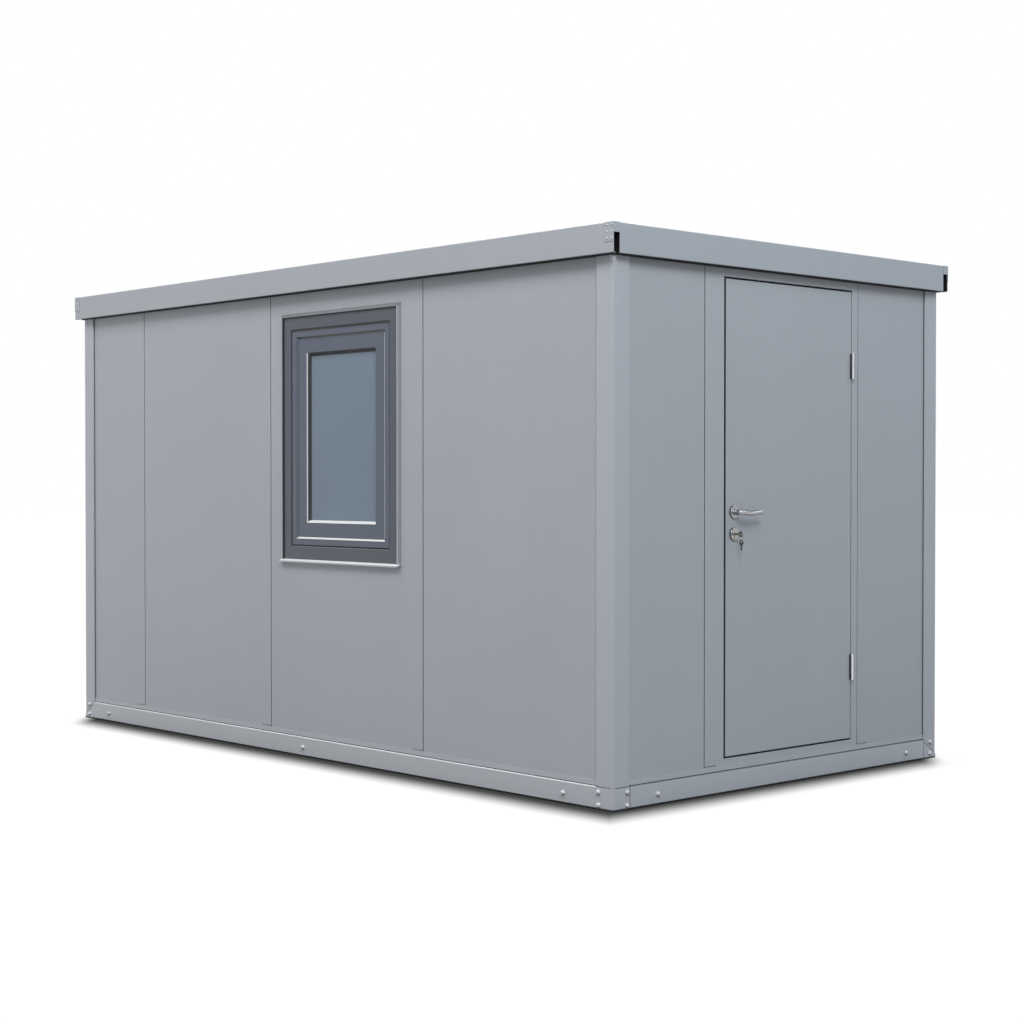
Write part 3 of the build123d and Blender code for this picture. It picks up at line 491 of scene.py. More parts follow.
# Wall channels: low channels of folded sheet, coated like the walls, screwed down on the rails, with
# the panels' feet standing in them. A dark foam tape is squeezed out under them, which also stands in for
# the shade along the rails' top.
dress(coated("channel coat", srgb(166, 170, 176), cloud=0.05), "wall_channels")
tape_rise = 0.003
tape_proud = 0.001
tape_proud_above = 0.0006
tape_bed = 0.002
channel_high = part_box("wall_channels")[1]
rail_end_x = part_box("base_rail_front")[1].x
tape_profile = [(0, -tape_bed), (tape_rise, -tape_bed), (tape_rise, tape_proud_above), (0, tape_proud)]
tapes = []
for toward in (-1, 1):
    side_y = toward * channel_high.y
    side_x = toward * channel_high.x
    long_run = ((-toward * rail_end_x, side_y, rail_top), (toward * rail_end_x, side_y, rail_top))
    end_run = ((side_x, toward * rail_end_y, rail_top), (side_x, -toward * rail_end_y, rail_top))
    tapes.append(bar(tape_profile, *long_run, (0, 0, 1)))
    tapes.append(bar(tape_profile, *end_run, (0, 0, 1)))
make_piece("channel_tape", tapes, rubber, "cabin")

# Wall panels: sandwich panels of insulation between two coated steel sheets, grey outside and
# off-white towards the room. They stand edge to edge, with a dark rubber seal in each joint.
wall_grey = srgb(158, 163, 169)
room_white = srgb(226, 226, 221)
panel_nodes = (
    "front_panel_door_side", "front_panel_window", "front_panel_middle", "front_panel_far",
    "back_wall_panels", "far_end_panels", "door_end_panel_left", "door_end_panel_right",
)
room_reach = (1.975, 1.040, 2.21)
lining = (room_white, room_reach)
dress(coated("wall coat", wall_grey, cloud=0.10, zones=[lining]), *panel_nodes)
joint_gap = 0.003
joint_seal_width = 0.005
joint_seal_depth = 0.0008
joint_seal_shoulder = 0.0003
joint_seal_bed = 0.002
post_bead = 0.0026
joint_seal_foot = 0.118
far_end_joint = 0.061


def joint_seal(x, y, outward):
    """An upright rubber bead at the back of a panel joint."""
    half = joint_seal_width / 2
    crown, heel = half * 0.6, half * 0.5
    profile = [
        (half, -joint_seal_shoulder), (crown, 0), (-crown, 0), (-half, -joint_seal_shoulder),
        (-heel, -joint_seal_bed), (heel, -joint_seal_bed),
    ]
    across = Vector((0, 0, 1)).cross(Vector(outward))
    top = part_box("back_wall_panels")[1].z
    return bar(profile, (x, y, joint_seal_foot), (x, y, top), across)


front_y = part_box("front_panel_window")[0].y + joint_seal_depth
door_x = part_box("door_end_panel_left")[1].x - joint_seal_depth
long_joint_nodes = ("front_panel_window", "front_panel_middle", "front_panel_far")
joint_seals = [joint_seal(-door_x, far_end_joint, (-1, 0, 0))]
for name in long_joint_nodes:
    joint_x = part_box(name)[1].x + joint_gap / 2
    joint_seals.append(joint_seal(joint_x, front_y, (0, -1, 0)))
    joint_seals.append(joint_seal(joint_x, -front_y, (0, 1, 0)))
for name in ("door_jamb_lock_side", "door_end_panel_right"):
    joint_seals.append(joint_seal(door_x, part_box(name)[0].y - joint_gap / 2, (1, 0, 0)))
post_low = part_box("corner_post_back_door")[0]
bead_levels = (channel_high.z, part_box("gutter_fascia_front")[0].z)
bead_profile = [(0, 0), (post_bead, 0), (post_bead * 0.7, post_bead * 0.7), (0, post_bead)]
for toward_x in (-1, 1):
    for toward_y in (-1, 1):
        corner = (toward_x * post_low.x, toward_y * (joint_seal_depth - front_y))
        foot, head = ((*corner, level) for level in bead_levels)
        run = (foot, head) if toward_x * toward_y > 0 else (head, foot)
        joint_seals.append(bar(bead_profile, *run, (-toward_x, 0, 0)))
        corner = (toward_x * (door_x + joint_seal_depth), toward_y * post_low.y)
        foot, head = ((*corner, level) for level in bead_levels)
        run = (head, foot) if toward_x * toward_y > 0 else (foot, head)
        joint_seals.append(bar(bead_profile, *run, (0, -toward_y, 0)))
make_piece("panel_joint_seals", joint_seals, rubber, "cabin")

# Door surround: jambs, head and sill folded from the same coated sheet as the walls, filled and
# screwed to the panels beside them. A rubber seal runs round the stop behind the leaf.
surround_nodes = ("door_jamb_lock_side", "door_jamb_hinge_side", "door_head", "door_sill")
dress(coated("surround coat", srgb(160, 165, 171), cloud=0.06, zones=[lining]), *surround_nodes)
seal_from_edge = 0.002
seal_width = 0.009
seal_rise = 0.0035
stop_clearance = 0.005


def ring(low, high, profile, to_place):
    """Mesh of a profile, points of (inset, rise), led round a rectangle with mitred corners."""
    points = []
    for inset, rise in profile:
        left, bottom = low[0] + inset, low[1] + inset
        right, top = high[0] - inset, high[1] - inset
        for u, v in ((left, bottom), (right, bottom), (right, top), (left, top)):
            points.append(to_place(u, v, rise))
    faces = []
    for row in range(len(profile)):
        after = (row + 1) % len(profile)
        for corner in range(4):
            beside = (corner + 1) % 4
            faces.append((row * 4 + corner, row * 4 + beside, after * 4 + beside, after * 4 + corner))
    return points, faces


stop_face_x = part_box("door_leaf")[0].x - stop_clearance
stop_low = (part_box("door_jamb_lock_side")[1].y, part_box("door_sill")[1].z)
stop_high = (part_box("door_jamb_hinge_side")[0].y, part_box("door_head")[0].z)
seal_arc = [
    (-seal_from_edge - seal_width * (0.5 - 0.5 * math.cos(turn)), seal_rise * math.sin(turn))
    for turn in (0, 0.5, 1.0, 1.57, 2.1, 2.6, math.pi)
]
door_seal = ring(stop_low, stop_high, seal_arc, lambda u, v, rise: (stop_face_x + rise, u, v))
make_piece("door_stop_seal", [door_seal], rubber, "cabin")

# Door leaf: two steel skins, grey outside and off-white inside, over a dark plastic edge that keeps the
# cold out; its dark colour is also painted shade for the gaps round the leaf, and a painted shade along the
# lock side's outer face widens the dark gap there. It is flush with its surround and hung on the right.
leaf_low, leaf_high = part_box("door_leaf")
outer_skin = 0.0006
gap_shade_width = 0.0035
plastic_edge_and_gap_shade = (srgb(32, 34, 38), (leaf_high.x - outer_skin, beyond_cabin, beyond_cabin))


def lock_side_painted_shade(tree, colour):
    """Leaf colour, with a painted shade along the lock side's outer edge."""
    spot = place(tree, "ShaderNodeTexCoord").outputs["Object"]
    across = place(tree, "ShaderNodeSeparateXYZ", {0: spot}).outputs["Y"]
    on_gap_shade = calc(tree, "LESS_THAN", across, leaf_low.y + gap_shade_width)
    return mixed(tree, on_gap_shade, colour, srgb(36, 39, 44))


leaf_zones = [plastic_edge_and_gap_shade, lining]
leaf_coat = coated("door coat", wall_grey, cloud=0.09, gloss=0.38, zones=leaf_zones, paint=lock_side_painted_shade)
dress(leaf_coat, "door_leaf")

# Hinges: two lift-off hinges of zinc-plated steel, the pin's half on the jamb and the other on the leaf.
# The knuckles carry a painted shade on the side that turns towards +Y, and a dark coated strip on the leaf
# beside each knuckle stands in for the shade there.
hinge_zinc = zinc_plated("hinge zinc", srgb(214, 216, 219), 500.0, 0.1, srgb(158, 164, 171))
dress(hinge_zinc, "door_hinges_jamb_side", "door_hinges_leaf_side")
hinge_levels = (0.467, 1.806)
hinge_strip_length = 0.110
hinge_strip_near, hinge_strip_far = 0.4322, 0.4398
hinge_strip_bed, hinge_strip_proud = 0.001, 0.0006
hinge_strip_profile = oblong(hinge_strip_near, hinge_strip_far, -hinge_strip_bed, hinge_strip_proud)
hinge_shade_strips = []
for level in hinge_levels:
    strip_foot = (leaf_high.x, 0, level - hinge_strip_length / 2)
    strip_head = (leaf_high.x, 0, level + hinge_strip_length / 2)
    hinge_shade_strips.append(bar(hinge_strip_profile, strip_foot, strip_head, (0, 1, 0)))
hinge_shade_coat = coated("hinge strip coat", srgb(44, 47, 53), dust_and_highlight=0.0)
make_piece("hinge_shade_strips", hinge_shade_strips, hinge_shade_coat, "door")

# Roses, lever and lock: satin stainless covers and a bent round lever on each face of the leaf, and
# a nickel-plated cylinder with its key, a ring and a spare key. All are brushed in fine lines along
# one direction, and a painted shade darkens the foot of each rose.
brush_relief = 0.00002
brush_group, brush_in, brush_out = shader_group(
    "brushed lines",
    {"Colour": "Color", "Lines": "Vector", "Gloss": "Float"},
    {"Colour": "Color", "Roughness": "Float", "Height": "Float"},
)
brush_place = place(brush_group, "ShaderNodeTexCoord").outputs["Object"]
brush_sockets = {0: brush_place, 1: brush_in["Lines"]}
brush_lines = place(brush_group, "ShaderNodeVectorMath", brush_sockets, operation="MULTIPLY").outputs[0]
brush_grey = noise(brush_group, brush_lines, 1.0, 3.0, 0.6)
brush_level = calc(brush_group, "MULTIPLY_ADD", brush_grey, 0.2, 0.9)
brush_group.links.new(scaled(brush_group, brush_in["Colour"], brush_level), brush_out["Colour"])
brush_gloss = calc(brush_group, "MULTIPLY_ADD", brush_grey, 0.16, brush_in["Gloss"])
brush_group.links.new(brush_gloss, brush_out["Roughness"])
brush_group.links.new(calc(brush_group, "MULTIPLY", brush_grey, brush_relief), brush_out["Height"])
rose_bed = 0.001
rose_rim = 0.0018


def brushed(name, colour, lines, gloss, foot=None):
    """Brushed metal, greyer where it turns away, with a painted shade at the foot of a rose."""
    material, tree, shader = new_material(name)
    brush = place(tree, "ShaderNodeGroup", node_tree=brush_group)
    brush.inputs["Colour"].default_value = colour
    if foot:
        brush_axes = place(tree, "ShaderNodeTexCoord").outputs["Object"]
        out_x = place(tree, "ShaderNodeSeparateXYZ", {0: brush_axes}).outputs["X"]
        above = calc(tree, "GREATER_THAN", out_x, leaf_high.x - rose_bed)
        band = calc(tree, "MULTIPLY", above, calc(tree, "LESS_THAN", out_x, foot))
        tree.links.new(mixed(tree, band, colour, srgb(62, 63, 65)), brush.inputs["Colour"])
    brush.inputs["Lines"].default_value = lines
    brush.inputs["Gloss"].default_value = gloss
    relief = place(tree, "ShaderNodeBump", {"Height": brush.outputs["Height"], "Distance": 1.0})
    shader.inputs["Metallic"].default_value = 1.0
    shader.inputs["Specular Tint"].default_value = (0.1, 0.1, 0.1, 1.0)
    tree.links.new(brush.outputs["Colour"], shader.inputs["Base Color"])
    tree.links.new(brush.outputs["Roughness"], shader.inputs["Roughness"])
    tree.links.new(relief.outputs["Normal"], shader.inputs["Normal"])
    return material


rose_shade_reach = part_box("handle_roses")[1].x - rose_rim
rose_steel = brushed("rose steel", srgb(160, 161, 163), (600.0, 90.0, 600.0), 0.14, rose_shade_reach)
dress(rose_steel, "handle_roses")
dress(brushed("lever steel", srgb(164, 165, 167), (700.0, 40.0, 700.0), 0.12), "lever_handle")
dress(brushed("cylinder nickel", srgb(160, 157, 150), (300.0, 900.0, 900.0), 0.14), "lock_cylinder")
dress(brushed("key nickel", srgb(138, 138, 136), (200.0, 900.0, 900.0), 0.16), "key_set")

# Lock plates: a satin steel face plate let into the leaf's edge, with the latch and two screws, and
# a striking plate with a long slot screwed to the jamb opposite. A black strip in the slot stands in for
# the shade in its opening.
plate_steel = brushed("plate steel", srgb(184, 185, 186), (300.0, 300.0, 20.0), 0.2)
plate_bed, plate_proud = 0.001, 0.0008
face_plate_middle = 1.9875
face_plate_foot, face_plate_head = 1.010, 1.245
face_plate_half = 0.010
face_screw_from_end = 0.012
latch_foot, latch_head = 1.158, 1.178
latch_half = 0.0065
latch_low, latch_tip = 0.0012, 0.0035
leaf_edge = (face_plate_middle, leaf_low.y)
plate_profile = oblong(-face_plate_half, face_plate_half, -plate_bed, plate_proud)
latch_profile = [(-latch_half, 0.0), (latch_half, 0.0), (latch_half, latch_low), (-latch_half, latch_tip)]
screw_radius, screw_crown = 0.0036, 0.0034
screw_foot, screw_edge, screw_top = 0.0006, 0.0011, 0.0012
socket_mouth, socket_floor, socket_level = 0.0012, 0.001, 0.0009
screw_profile = [
    (screw_radius, screw_foot), (screw_crown, screw_edge), (socket_mouth, screw_top),
    (socket_floor, socket_level), (0, socket_level),
]
lock_face = [
    bar(plate_profile, (*leaf_edge, face_plate_foot), (*leaf_edge, face_plate_head), (1, 0, 0)),
    bar(latch_profile, (*leaf_edge, latch_foot), (*leaf_edge, latch_head), (1, 0, 0)),
]
for level in (face_plate_foot + face_screw_from_end, face_plate_head - face_screw_from_end):
    lock_face.append(lathe(screw_profile, (*leaf_edge, level), (0, -1, 0), 14))
make_piece("lock_face_plate", lock_face, plate_steel, "door")
jamb_clearance = 0.008
strike_foot, strike_head = 0.985, 1.27
strike_half = 0.015
strike_rim = 0.009
slot_half = 0.007
slot_proud = 0.0002
slot_from_end = 0.008
jamb_face = leaf_low.y - jamb_clearance
strike_low = (face_plate_middle - strike_half, strike_foot)
strike_high = (face_plate_middle + strike_half, strike_head)
strike_profile = oblong(strike_rim, 0.0, -plate_bed, plate_proud)
strike_plate = ring(strike_low, strike_high, strike_profile, lambda u, v, rise: (u, jamb_face + rise, v))
make_piece("striking_plate", [strike_plate], plate_steel, "cabin")
slot_profile = oblong(-slot_half, slot_half, -plate_bed, slot_proud)
slot_foot = (face_plate_middle, jamb_face, strike_foot + slot_from_end)
slot_head = (face_plate_middle, jamb_face, strike_head - slot_from_end)
striking_slot = bar(slot_profile, slot_foot, slot_head, (-1, 0, 0))
make_piece("striking_slot", [striking_slot], rubber, "cabin")

# Window: a fixed frame and a stepped sash of anthracite plastic, welded at the mitres, round sealed glass.
# The plastic carries painted light: pale painted highlights on faces that look up and along two edge lines,
# and painted shade on faces that look down. A black seal lies between frame and sash and along the edge of
# the glass, and black strips along the top and the left stand in for the shade on those sides.
frame_low, frame_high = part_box("window_frame")
window_middle = (frame_low + frame_high) / 2
mitre_shift = (frame_high.x - frame_low.x) / 2 - (frame_high.z - frame_low.z) / 2
mitre_width = 0.0022
mitre_depth = 0.0004
plastic_grain = 0.00001
plastic_edge_radius = 0.0012


def window_plastic(name, dark, light, dust_and_highlight, highlight_lines=()):
    """Smooth plastic with welded mitres, a painted highlight on the slopes that look up, a painted shade on
    faces that look down, and painted highlight lines.

    A highlight line is given by the insets of its left side, its right side and its ends, and its share.
    """
    material, tree, shader = new_material(name)
    spot = place(tree, "ShaderNodeTexCoord").outputs["Object"]
    axes = place(tree, "ShaderNodeSeparateXYZ", {0: spot}).outputs
    from_side = calc(tree, "ABSOLUTE", calc(tree, "SUBTRACT", axes["X"], window_middle.x))
    from_level = calc(tree, "ABSOLUTE", calc(tree, "SUBTRACT", axes["Z"], window_middle.z))
    off_mitre = calc(tree, "SUBTRACT", calc(tree, "SUBTRACT", from_side, from_level), mitre_shift)
    mitre_line = ramp(tree, calc(tree, "ABSOLUTE", off_mitre), 0.0, mitre_width, 1.0, 0.0)
    grain = noise(tree, spot, 700.0, 2.0)
    body = mixed(tree, noise(tree, spot, 4.0, 3.0), dark, light)
    lie = place(tree, "ShaderNodeGroup", node_tree=lie_group).outputs
    shaded = mixed(tree, lie["Under"], body, srgb(40, 42, 47))
    highlighted = mixed(tree, lie["Up"], shaded, dust_and_highlight)
    for edge_left, edge_right, edge_end, share in highlight_lines:
        inset = calc(tree, "SUBTRACT", axes["X"], frame_low.x)
        past = calc(tree, "GREATER_THAN", inset, edge_left)
        before = calc(tree, "LESS_THAN", inset, edge_right)
        within = calc(tree, "LESS_THAN", from_level, window_middle.z - frame_low.z - edge_end)
        on_highlight_line = calc(tree, "MULTIPLY", calc(tree, "MULTIPLY", past, before), within)
        highlighted = mixed(tree, calc(tree, "MULTIPLY", on_highlight_line, share), highlighted, dust_and_highlight)
    colour = mixed(tree, calc(tree, "MULTIPLY", mitre_line, 0.5), highlighted, srgb(52, 55, 60))
    tree.links.new(colour, shader.inputs["Base Color"])
    tree.links.new(ramp(tree, grain, 0.3, 0.7, 0.2, 0.3), shader.inputs["Roughness"])
    grain_height = calc(tree, "MULTIPLY", grain, plastic_grain)
    height = calc(tree, "MULTIPLY_ADD", mitre_line, -mitre_depth, grain_height)
    edges = place(tree, "ShaderNodeBevel", {"Radius": plastic_edge_radius}, samples=4)
    relief = place(tree, "ShaderNodeBump", {"Height": height, "Normal": edges.outputs[0]})
    relief.inputs["Distance"].default_value = 1.0
    tree.links.new(relief.outputs["Normal"], shader.inputs["Normal"])
    return material


# The frame's third colour is a pale painted highlight on the faces that look up.
frame_plastic = window_plastic("frame plastic", srgb(70, 76, 87), srgb(78, 84, 95), srgb(110, 115, 122))
dress(frame_plastic, "window_frame", "window_handle")
# Painted highlight lines on the glazing bead's left side and the sash rim's right inner edge; the sash's
# pale colour is a painted highlight too.
glass_edge_highlight = (0.1715, 0.1755, 0.1715, 1.0)
outer_edge_highlight = (0.7515, 0.7555, 0.109, 0.75)
sash_dark = srgb(79, 88, 104)
sash_light = srgb(87, 96, 112)
sash_highlight = srgb(214, 216, 217)
sash_plastic = window_plastic("sash plastic", sash_dark, sash_light, sash_highlight, [glass_edge_highlight, outer_edge_highlight])
dress(sash_plastic, "window_sash")

glass, glass_tree, glass_shader = new_material("window glass")
glass_place = place(glass_tree, "ShaderNodeTexCoord").outputs["Object"]
glass_film = noise(glass_tree, glass_place, 3.0, 3.0)
glass_colour = mixed(glass_tree, glass_film, srgb(113, 133, 149), srgb(121, 141, 158))
glass_tree.links.new(glass_colour, glass_shader.inputs["Base Color"])
glass_tree.links.new(ramp(glass_tree, glass_film, 0.3, 0.7, 0.04, 0.08), glass_shader.inputs["Roughness"])
glass_shader.inputs["Transmission Weight"].default_value = 0.25
glass_shader.inputs["IOR"].default_value = 1.5
dress(glass, "window_glass")

frame_face = 0.061
sash_gap = 0.005
daylight_inset = 0.184
glass_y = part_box("window_glass")[0].y
window_low = (frame_low.x, frame_low.z)
window_high = (frame_high.x, frame_high.z)
seal_tuck = 0.001
gap_near, gap_far = frame_face - seal_tuck, frame_face + sash_gap + seal_tuck
gap_back, gap_front = -0.012, -0.006
top_gap_back, top_gap_front = -0.008, 0.0004
gap_seal = oblong(gap_far, gap_near, gap_back, gap_front)
top_gap_shade_seal = oblong(gap_far, gap_near, top_gap_back, top_gap_front)


def window_strip(side, profile, plane, ends):
    """A seal along one side of the window; its profile is in insets and rises above a plane."""
    left, right = frame_low.x, frame_high.x
    bottom, top = frame_low.z + ends, frame_high.z - ends
    if side == "left":
        return bar(profile, (left, plane, bottom), (left, plane, top), (1, 0, 0))
    if side == "right":
        return bar(profile, (right, plane, top), (right, plane, bottom), (-1, 0, 0))
    head = frame_high.z
    return bar(profile, (left + ends, plane, head), (right - ends, plane, head), (0, 0, -1))


bead_back, bead_toe = daylight_inset - 0.0085, daylight_inset + 0.0045
bead_rise, bead_toe_rise = 0.0118, 0.001
bead_shade_seal = [(bead_back, 0.0), (bead_back, bead_rise), (bead_toe, bead_toe_rise), (bead_toe, 0.0)]
thin_back = daylight_inset - 0.001
thin_shoulder, thin_toe = daylight_inset + 0.0025, daylight_inset + 0.0035
thin_rise, thin_shoulder_rise = 0.004, 0.0032
thin_seal = [(thin_back, 0.0), (thin_back, thin_rise), (thin_shoulder, thin_shoulder_rise), (thin_toe, 0.0)]
edge_width = 0.005
edge_bed = 0.002
edge_rise, edge_outer_rise = 0.0055, 0.0065
edge_shade_seal = [(0.0, -edge_bed), (edge_width, -edge_bed), (edge_width, edge_rise), (0.0, edge_outer_rise)]
# The black strips along the top and the left stand in for the shade on those sides; the ring and the right
# seal are plain seals.
window_seals = [
    ring(window_low, window_high, gap_seal, lambda u, v, rise: (u, frame_low.y - rise, v)),
    window_strip("left", bead_shade_seal, glass_y, daylight_inset),
    window_strip("top", bead_shade_seal, glass_y, bead_back),
    window_strip("right", thin_seal, glass_y, daylight_inset),
    window_strip("left", edge_shade_seal, frame_low.y, 0.0),
    window_strip("top", edge_shade_seal, frame_low.y, 0.0),
    window_strip("top", top_gap_shade_seal, frame_low.y, frame_face),
]
make_piece("window_seals", window_seals, rubber, "cabin")

# Window trim: a coated strip that falls away from a lip beside the frame and covers the panel's cut
# edge, with a drip sill below. Its colour carries painted light: painted shade on the strips above and to
# the right of the window, and a painted highlight on the lip at the right and on the sill.
trim_lip = 0.003
trim_seam = 0.0005
sill_seam = 0.001


def trim_painted_light(tree, colour):
    """Trim colour with painted light: shade above the window and beside it, a highlight on the lip and on
    the sill.
    """
    spot = place(tree, "ShaderNodeTexCoord").outputs["Object"]
    axes = place(tree, "ShaderNodeSeparateXYZ", {0: spot}).outputs
    above = calc(tree, "GREATER_THAN", axes["Z"], frame_high.z + trim_seam)
    beside = calc(tree, "GREATER_THAN", axes["X"], frame_high.x - trim_seam)
    past_lip = calc(tree, "GREATER_THAN", axes["X"], frame_high.x + trim_lip)
    painted_tone = mixed(tree, beside, colour, srgb(206, 208, 211))
    right_strip_shade = mixed(tree, past_lip, painted_tone, srgb(128, 132, 138))
    lie = place(tree, "ShaderNodeGroup", node_tree=lie_group)
    low = calc(tree, "LESS_THAN", axes["Z"], frame_low.z + sill_seam)
    highlighted = mixed(tree, calc(tree, "MULTIPLY", lie.outputs["Up"], low), right_strip_shade, srgb(222, 223, 224))
    return mixed(tree, above, highlighted, srgb(112, 116, 121))


trim_coat = coated("trim coat", srgb(171, 176, 182), cloud=0.04, dust_and_highlight=0.0, gloss=0.3, paint=trim_painted_light)
dress(trim_coat, "window_trim")

# Roof panels: sandwich panels whose top sheet has pressed ribs, off-white on the room side.
# The sheet's coat is cloudy.
roof_coat = coated("roof coat", srgb(146, 150, 154), cloud=0.22, dust_and_highlight=0.0, gloss=0.5, zones=[lining])
dress(roof_coat, "roof_panels")

# Fascias: hoods of folded sheet in front of the wall heads, coated in the walls' grey, with the gutter
# behind them. Their flanges are screwed to the roof. Inside each hood a near-black painted shade darkens
# the coat.
fascia_nodes = ("gutter_fascia_front", "gutter_fascia_back", "end_fascia_door", "end_fascia_far")
hood_reach = (2.0515, 1.1165, 2.262)
hood_painted_shade = (srgb(26, 28, 30), hood_reach)
fascia_coat = coated("fascia coat", wall_grey, dust_and_highlight=0.0, gloss=0.4, zones=[hood_painted_shade])
dress(fascia_coat, *fascia_nodes)

# Closing strip: black foam tape that closes the joint between the walls and the fascias, stuck round
# the top of the posts and panels. It hangs a little below the fascias and also stands in for the shadow
# line under them.
strip_drop = 0.003
strip_rise = 0.016
strip_proud, strip_bed = 0.0018, 0.012
post_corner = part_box("corner_post_front_door")
strip_low = (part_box("corner_post_front_far")[0].x, post_corner[0].y)
strip_high = (post_corner[1].x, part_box("corner_post_back_door")[1].y)
strip_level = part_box("gutter_fascia_front")[0].z - strip_drop
closing_profile = oblong(strip_bed, -strip_proud, 0.0, strip_rise)
closing_strip = ring(strip_low, strip_high, closing_profile, lambda u, v, rise: (u, v, strip_level + rise))
make_piece("closing_strip", [closing_strip], rubber, "cabin")

# Roof screws: hexagon screws on sealing washers, through the ribs into the roof beams and through the
# flanges of the fascias into the top sheet.
rib_pitch = 0.28
rib_end = 0.07
rib_height = 0.02
rib_screw_from_end = 0.05
flange_sheet = 0.0025
flange_middle = 0.02
flange_screw_pitch = 0.46
long_flange_steps = range(-4, 5)
end_flange_steps = range(-2, 3)
roof_low, roof_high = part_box("roof_panels")
washer_radius, washer_crown = 0.0085, 0.0055
washer_edge, washer_rise = 0.0014, 0.0026
washer_profile = [
    (washer_radius, 0.0), (washer_radius, washer_edge), (washer_crown, washer_rise), (0.0, washer_rise),
]
hexagon_radius, hexagon_crown = 0.0048, 0.004
hexagon_edge, hexagon_rise = 0.0058, 0.0064
hexagon_profile = [
    (hexagon_radius, 0.0), (hexagon_radius, hexagon_edge),
    (hexagon_crown, hexagon_rise), (0.0, hexagon_rise),
]
roof_places = []
long_joint_places = [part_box(name)[1].x + joint_gap / 2 for name in long_joint_nodes]
roof_edges = [roof_high.x, *long_joint_places, roof_low.x]
rib_reach = roof_high.y - rib_end - rib_screw_from_end
for right, left in zip(roof_edges, roof_edges[1:]):
    rib_left = max(left, roof_low.x + rib_end)
    rib_room = min(right, roof_high.x - rib_end) - rib_left
    rib_count = max(1, round(rib_room / rib_pitch))
    for rib in range(rib_count):
        rib_x = rib_left + rib_room * (rib + 0.5) / rib_count
        roof_places += [(rib_x, y, roof_high.z) for y in (-rib_reach, 0.0, rib_reach)]
flange_top = roof_high.z - rib_height + flange_sheet
for toward in (-1, 1):
    for step in long_flange_steps:
        flange_y = toward * (roof_high.y - flange_middle)
        roof_places.append((step * flange_screw_pitch, flange_y, flange_top))
    for step in end_flange_steps:
        flange_x = toward * (roof_high.x - flange_middle)
        roof_places.append((flange_x, step * flange_screw_pitch, flange_top))
roof_screws = []
for spot in roof_places:
    roof_screws.append(lathe(washer_profile, spot, (0, 0, 1), 14))
    roof_screws.append(lathe(hexagon_profile, spot, (0, 0, 1), 6))
make_piece("roof_screws", roof_screws, bolt_coat, "cabin", 25)

# Corner plates: small caps of the same sheet over the ends of the long fascias, held by blind rivets
# in two columns of three on the long side.
dress(fascia_coat, "roof_corner_plates")
rivet_radius = 0.0042
rivet_rise = 0.0018
rivet_columns = (0.010, 0.036)
rivet_rows = (0.012, 0.038, 0.064)
plate_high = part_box("roof_corner_plates")[1]
rivets = []
rivet_profile = [
    (rivet_radius, 0.0), (rivet_radius * 0.9, rivet_rise * 0.6), (rivet_radius * 0.6, rivet_rise),
    (rivet_radius * 0.35, rivet_rise), (rivet_radius * 0.3, rivet_rise * 0.5), (0, rivet_rise * 0.4),
]
for toward_x in (-1, 1):
    for toward_y in (-1, 1):
        for column in rivet_columns:
            for row in rivet_rows:
                centre = (toward_x * (plate_high.x - column), toward_y * plate_high.y, plate_high.z - row)
                rivets.append(lathe(rivet_profile, centre, (0, toward_y, 0), 14))
make_piece("corner_plate_rivets", rivets, bolt_coat, "cabin")

# Studio: a plain pale floor under soft, even light. The floor and the sky look white to the camera,
# to metal and to glass. The cabin's soft shadow is painted into the floor's glow from the footprint,
# falling towards the near corner and ending along the diagonals through the two outer corners, a little
# darker where an occlusion test finds the cabin near.
floor_half = 60.0
floor_level = -0.001
near_start, near_reach = 0.015, 0.25
door_start, door_reach = -0.01, 0.23
far_start, far_reach = -0.02, 0.06
side_start, side_reach = -0.09, 0.035
floor_mesh = bpy.data.meshes.new("studio_floor")
floor_ends = ((-1, -1), (1, -1), (1, 1), (-1, 1))
floor_corners = [(x * floor_half, y * floor_half, floor_level) for x, y in floor_ends]
floor_mesh.from_pydata(floor_corners, [], [(0, 1, 2, 3)])
floor_material = bpy.data.materials.new("studio floor")
floor_material.use_nodes = True
floor_tree = floor_material.node_tree
floor_tree.nodes.clear()
floor_open = place(floor_tree, "ShaderNodeAmbientOcclusion", {"Distance": 0.3}, samples=3).outputs["AO"]
floor_spot = place(floor_tree, "ShaderNodeTexCoord").outputs["Object"]
floor_axes = place(floor_tree, "ShaderNodeSeparateXYZ", {0: floor_spot}).outputs
diagonal_way = Vector((1.0, 1.0, 0.0)).normalized()
diagonal_edge = diagonal_way.dot(corner_high)
diagonal_sockets = {0: floor_spot, 1: diagonal_way}
diagonal = place(floor_tree, "ShaderNodeVectorMath", diagonal_sockets, operation="DOT_PRODUCT")
along_diagonal = calc(floor_tree, "ABSOLUTE", diagonal.outputs["Value"])
shadow_sides = [
    ramp(floor_tree, floor_axes["X"], corner_high.x + door_start, corner_high.x + door_reach, 0.0, 1.0),
    ramp(floor_tree, floor_axes["Y"], corner_low.y - near_start, corner_low.y - near_reach, 0.0, 1.0),
    ramp(floor_tree, floor_axes["X"], far_low.x - far_start, far_low.x - far_reach, 0.0, 1.0),
    ramp(floor_tree, floor_axes["Y"], corner_high.y + far_start, corner_high.y + far_reach, 0.0, 1.0),
]
side_light = shadow_sides[0]
for side in shadow_sides[1:]:
    side_light = calc(floor_tree, "MAXIMUM", side_light, side)
diagonal_start, diagonal_end = diagonal_edge + side_start, diagonal_edge + side_reach
corner_light = ramp(floor_tree, along_diagonal, diagonal_start, diagonal_end, 0.0, 1.0)
corner_dark = calc(floor_tree, "SUBTRACT", 1.0, corner_light)
shadow_light = calc(floor_tree, "MULTIPLY_ADD", side_light, corner_dark, corner_light)
shadow_level = calc(floor_tree, "MULTIPLY_ADD", shadow_light, 0.97, 0.03)
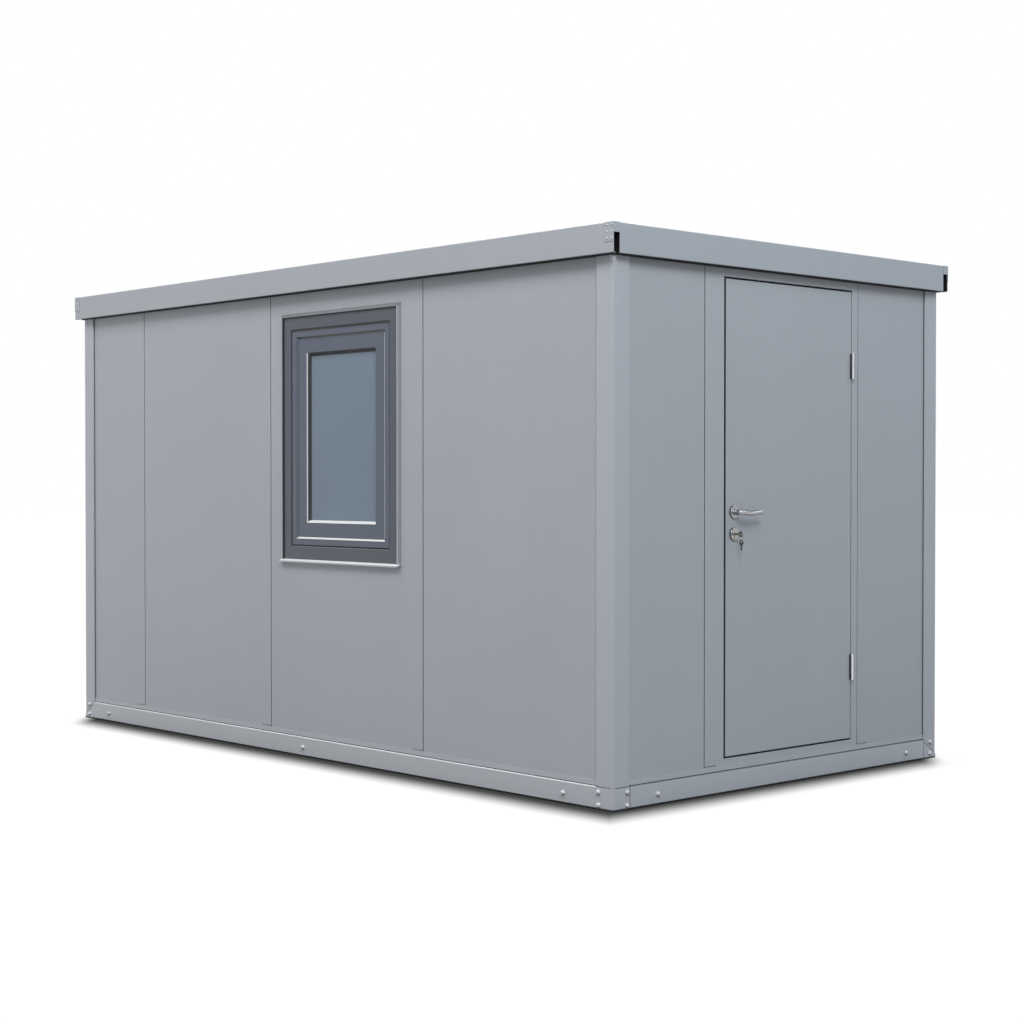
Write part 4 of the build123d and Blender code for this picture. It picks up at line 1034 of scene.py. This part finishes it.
open_level = ramp(floor_tree, floor_open, 0.5, 0.95, 0.85, 1.0)
floor_shade = calc(floor_tree, "MULTIPLY", shadow_level, open_level)


def shown(tree):
    """1 for what the camera, metal and glass see, and 0 for the light that falls on the cabin."""
    paths = place(tree, "ShaderNodeLightPath").outputs
    mirrored = calc(tree, "MAXIMUM", paths["Is Glossy Ray"], paths["Is Transmission Ray"])
    return calc(tree, "MAXIMUM", paths["Is Camera Ray"], mirrored)


floor_seen = shown(floor_tree)
floor_glow = calc(floor_tree, "MULTIPLY", floor_shade, floor_seen)
floor_grey = mixed(floor_tree, floor_seen, (0.33, 0.33, 0.33, 1.0), (0.03, 0.03, 0.03, 1.0))
floor_diffuse = place(floor_tree, "ShaderNodeBsdfDiffuse", {"Color": floor_grey}).outputs[0]
white = (1.0, 1.0, 1.0, 1.0)
floor_white = place(floor_tree, "ShaderNodeEmission", {"Color": white, "Strength": floor_glow}).outputs[0]
floor_sum = place(floor_tree, "ShaderNodeAddShader", {0: floor_diffuse, 1: floor_white}).outputs[0]
place(floor_tree, "ShaderNodeOutputMaterial", {"Surface": floor_sum})
floor_mesh.materials.append(floor_material)
studio_floor = bpy.data.objects.new("studio_floor", floor_mesh)
bpy.context.scene.collection.objects.link(studio_floor)

world = bpy.data.worlds.new("studio")
world.use_nodes = True
world_tree = world.node_tree
sky = world_tree.nodes["Background"]
sky_seen = shown(world_tree)
sky_level = calc(world_tree, "MULTIPLY_ADD", sky_seen, 0.585, 0.415)
world_tree.links.new(sky_level, sky.inputs["Strength"])
sky_colour = mixed(world_tree, sky_seen, (0.955, 1.0, 1.06, 1.0), white)
world_tree.links.new(sky_colour, sky.inputs["Color"])
bpy.context.scene.world = world


def soft_lamp(name, place_at, aim_at, size, power, colour, glare=True):
    """A large square lamp that points at a place, with or without a reflection of itself."""
    lamp = bpy.data.lights.new(name, "AREA")
    lamp.shape = "SQUARE"
    lamp.size = size
    lamp.energy = power
    lamp.color = colour
    holder = bpy.data.objects.new(name, lamp)
    holder.location = place_at
    holder.visible_glossy = glare
    holder.rotation_euler = (Vector(aim_at) - Vector(place_at)).to_track_quat("-Z", "Y").to_euler()
    bpy.context.scene.collection.objects.link(holder)


soft_lamp("window_side_lamp", (-0.5, -5.0, 8.5), (-0.2, -1.0, 1.5), 3.2, 392.0, (1.0, 0.961, 0.935))
soft_lamp("far_side_lamp", (-6.0, -3.6, 0.9), (-0.3, -1.1, 1.0), 2.0, 66.0, (1.0, 0.962, 0.952), False)
soft_lamp("corner_lamp", (7.0, -4.5, 7.0), (1.6, -0.7, 1.3), 3.0, 458.0, (0.96, 0.98, 1.0))
soft_lamp("back_lamp", (-5.5, 6.0, 6.0), (-0.8, 0.6, 1.2), 4.0, 560.0, (1.0, 1.0, 1.0))
soft_lamp("door_side_lamp", (4.4, 3.1, 5.0), (2.0, 0.2, 1.5), 3.0, 64.0, (0.68, 0.84, 1.0))

# Camera: about 1.3 m above the floor, off the corner between the window side and the door end, where
# the photograph was taken from. Its lens and place are fitted to the cabin's edges in the photograph.
camera = bpy.data.cameras.new("photo_camera")
camera.sensor_width = 36.0
camera.lens = 65.81
camera_holder = bpy.data.objects.new("photo_camera", camera)
camera_holder.location = (7.1159, -6.3204, 1.2924)
camera_holder.rotation_euler = (math.radians(89.0786), 0.0, math.radians(47.3185))
bpy.context.scene.collection.objects.link(camera_holder)
bpy.context.scene.camera = camera_holder
bpy.context.scene.view_settings.view_transform = "Standard"
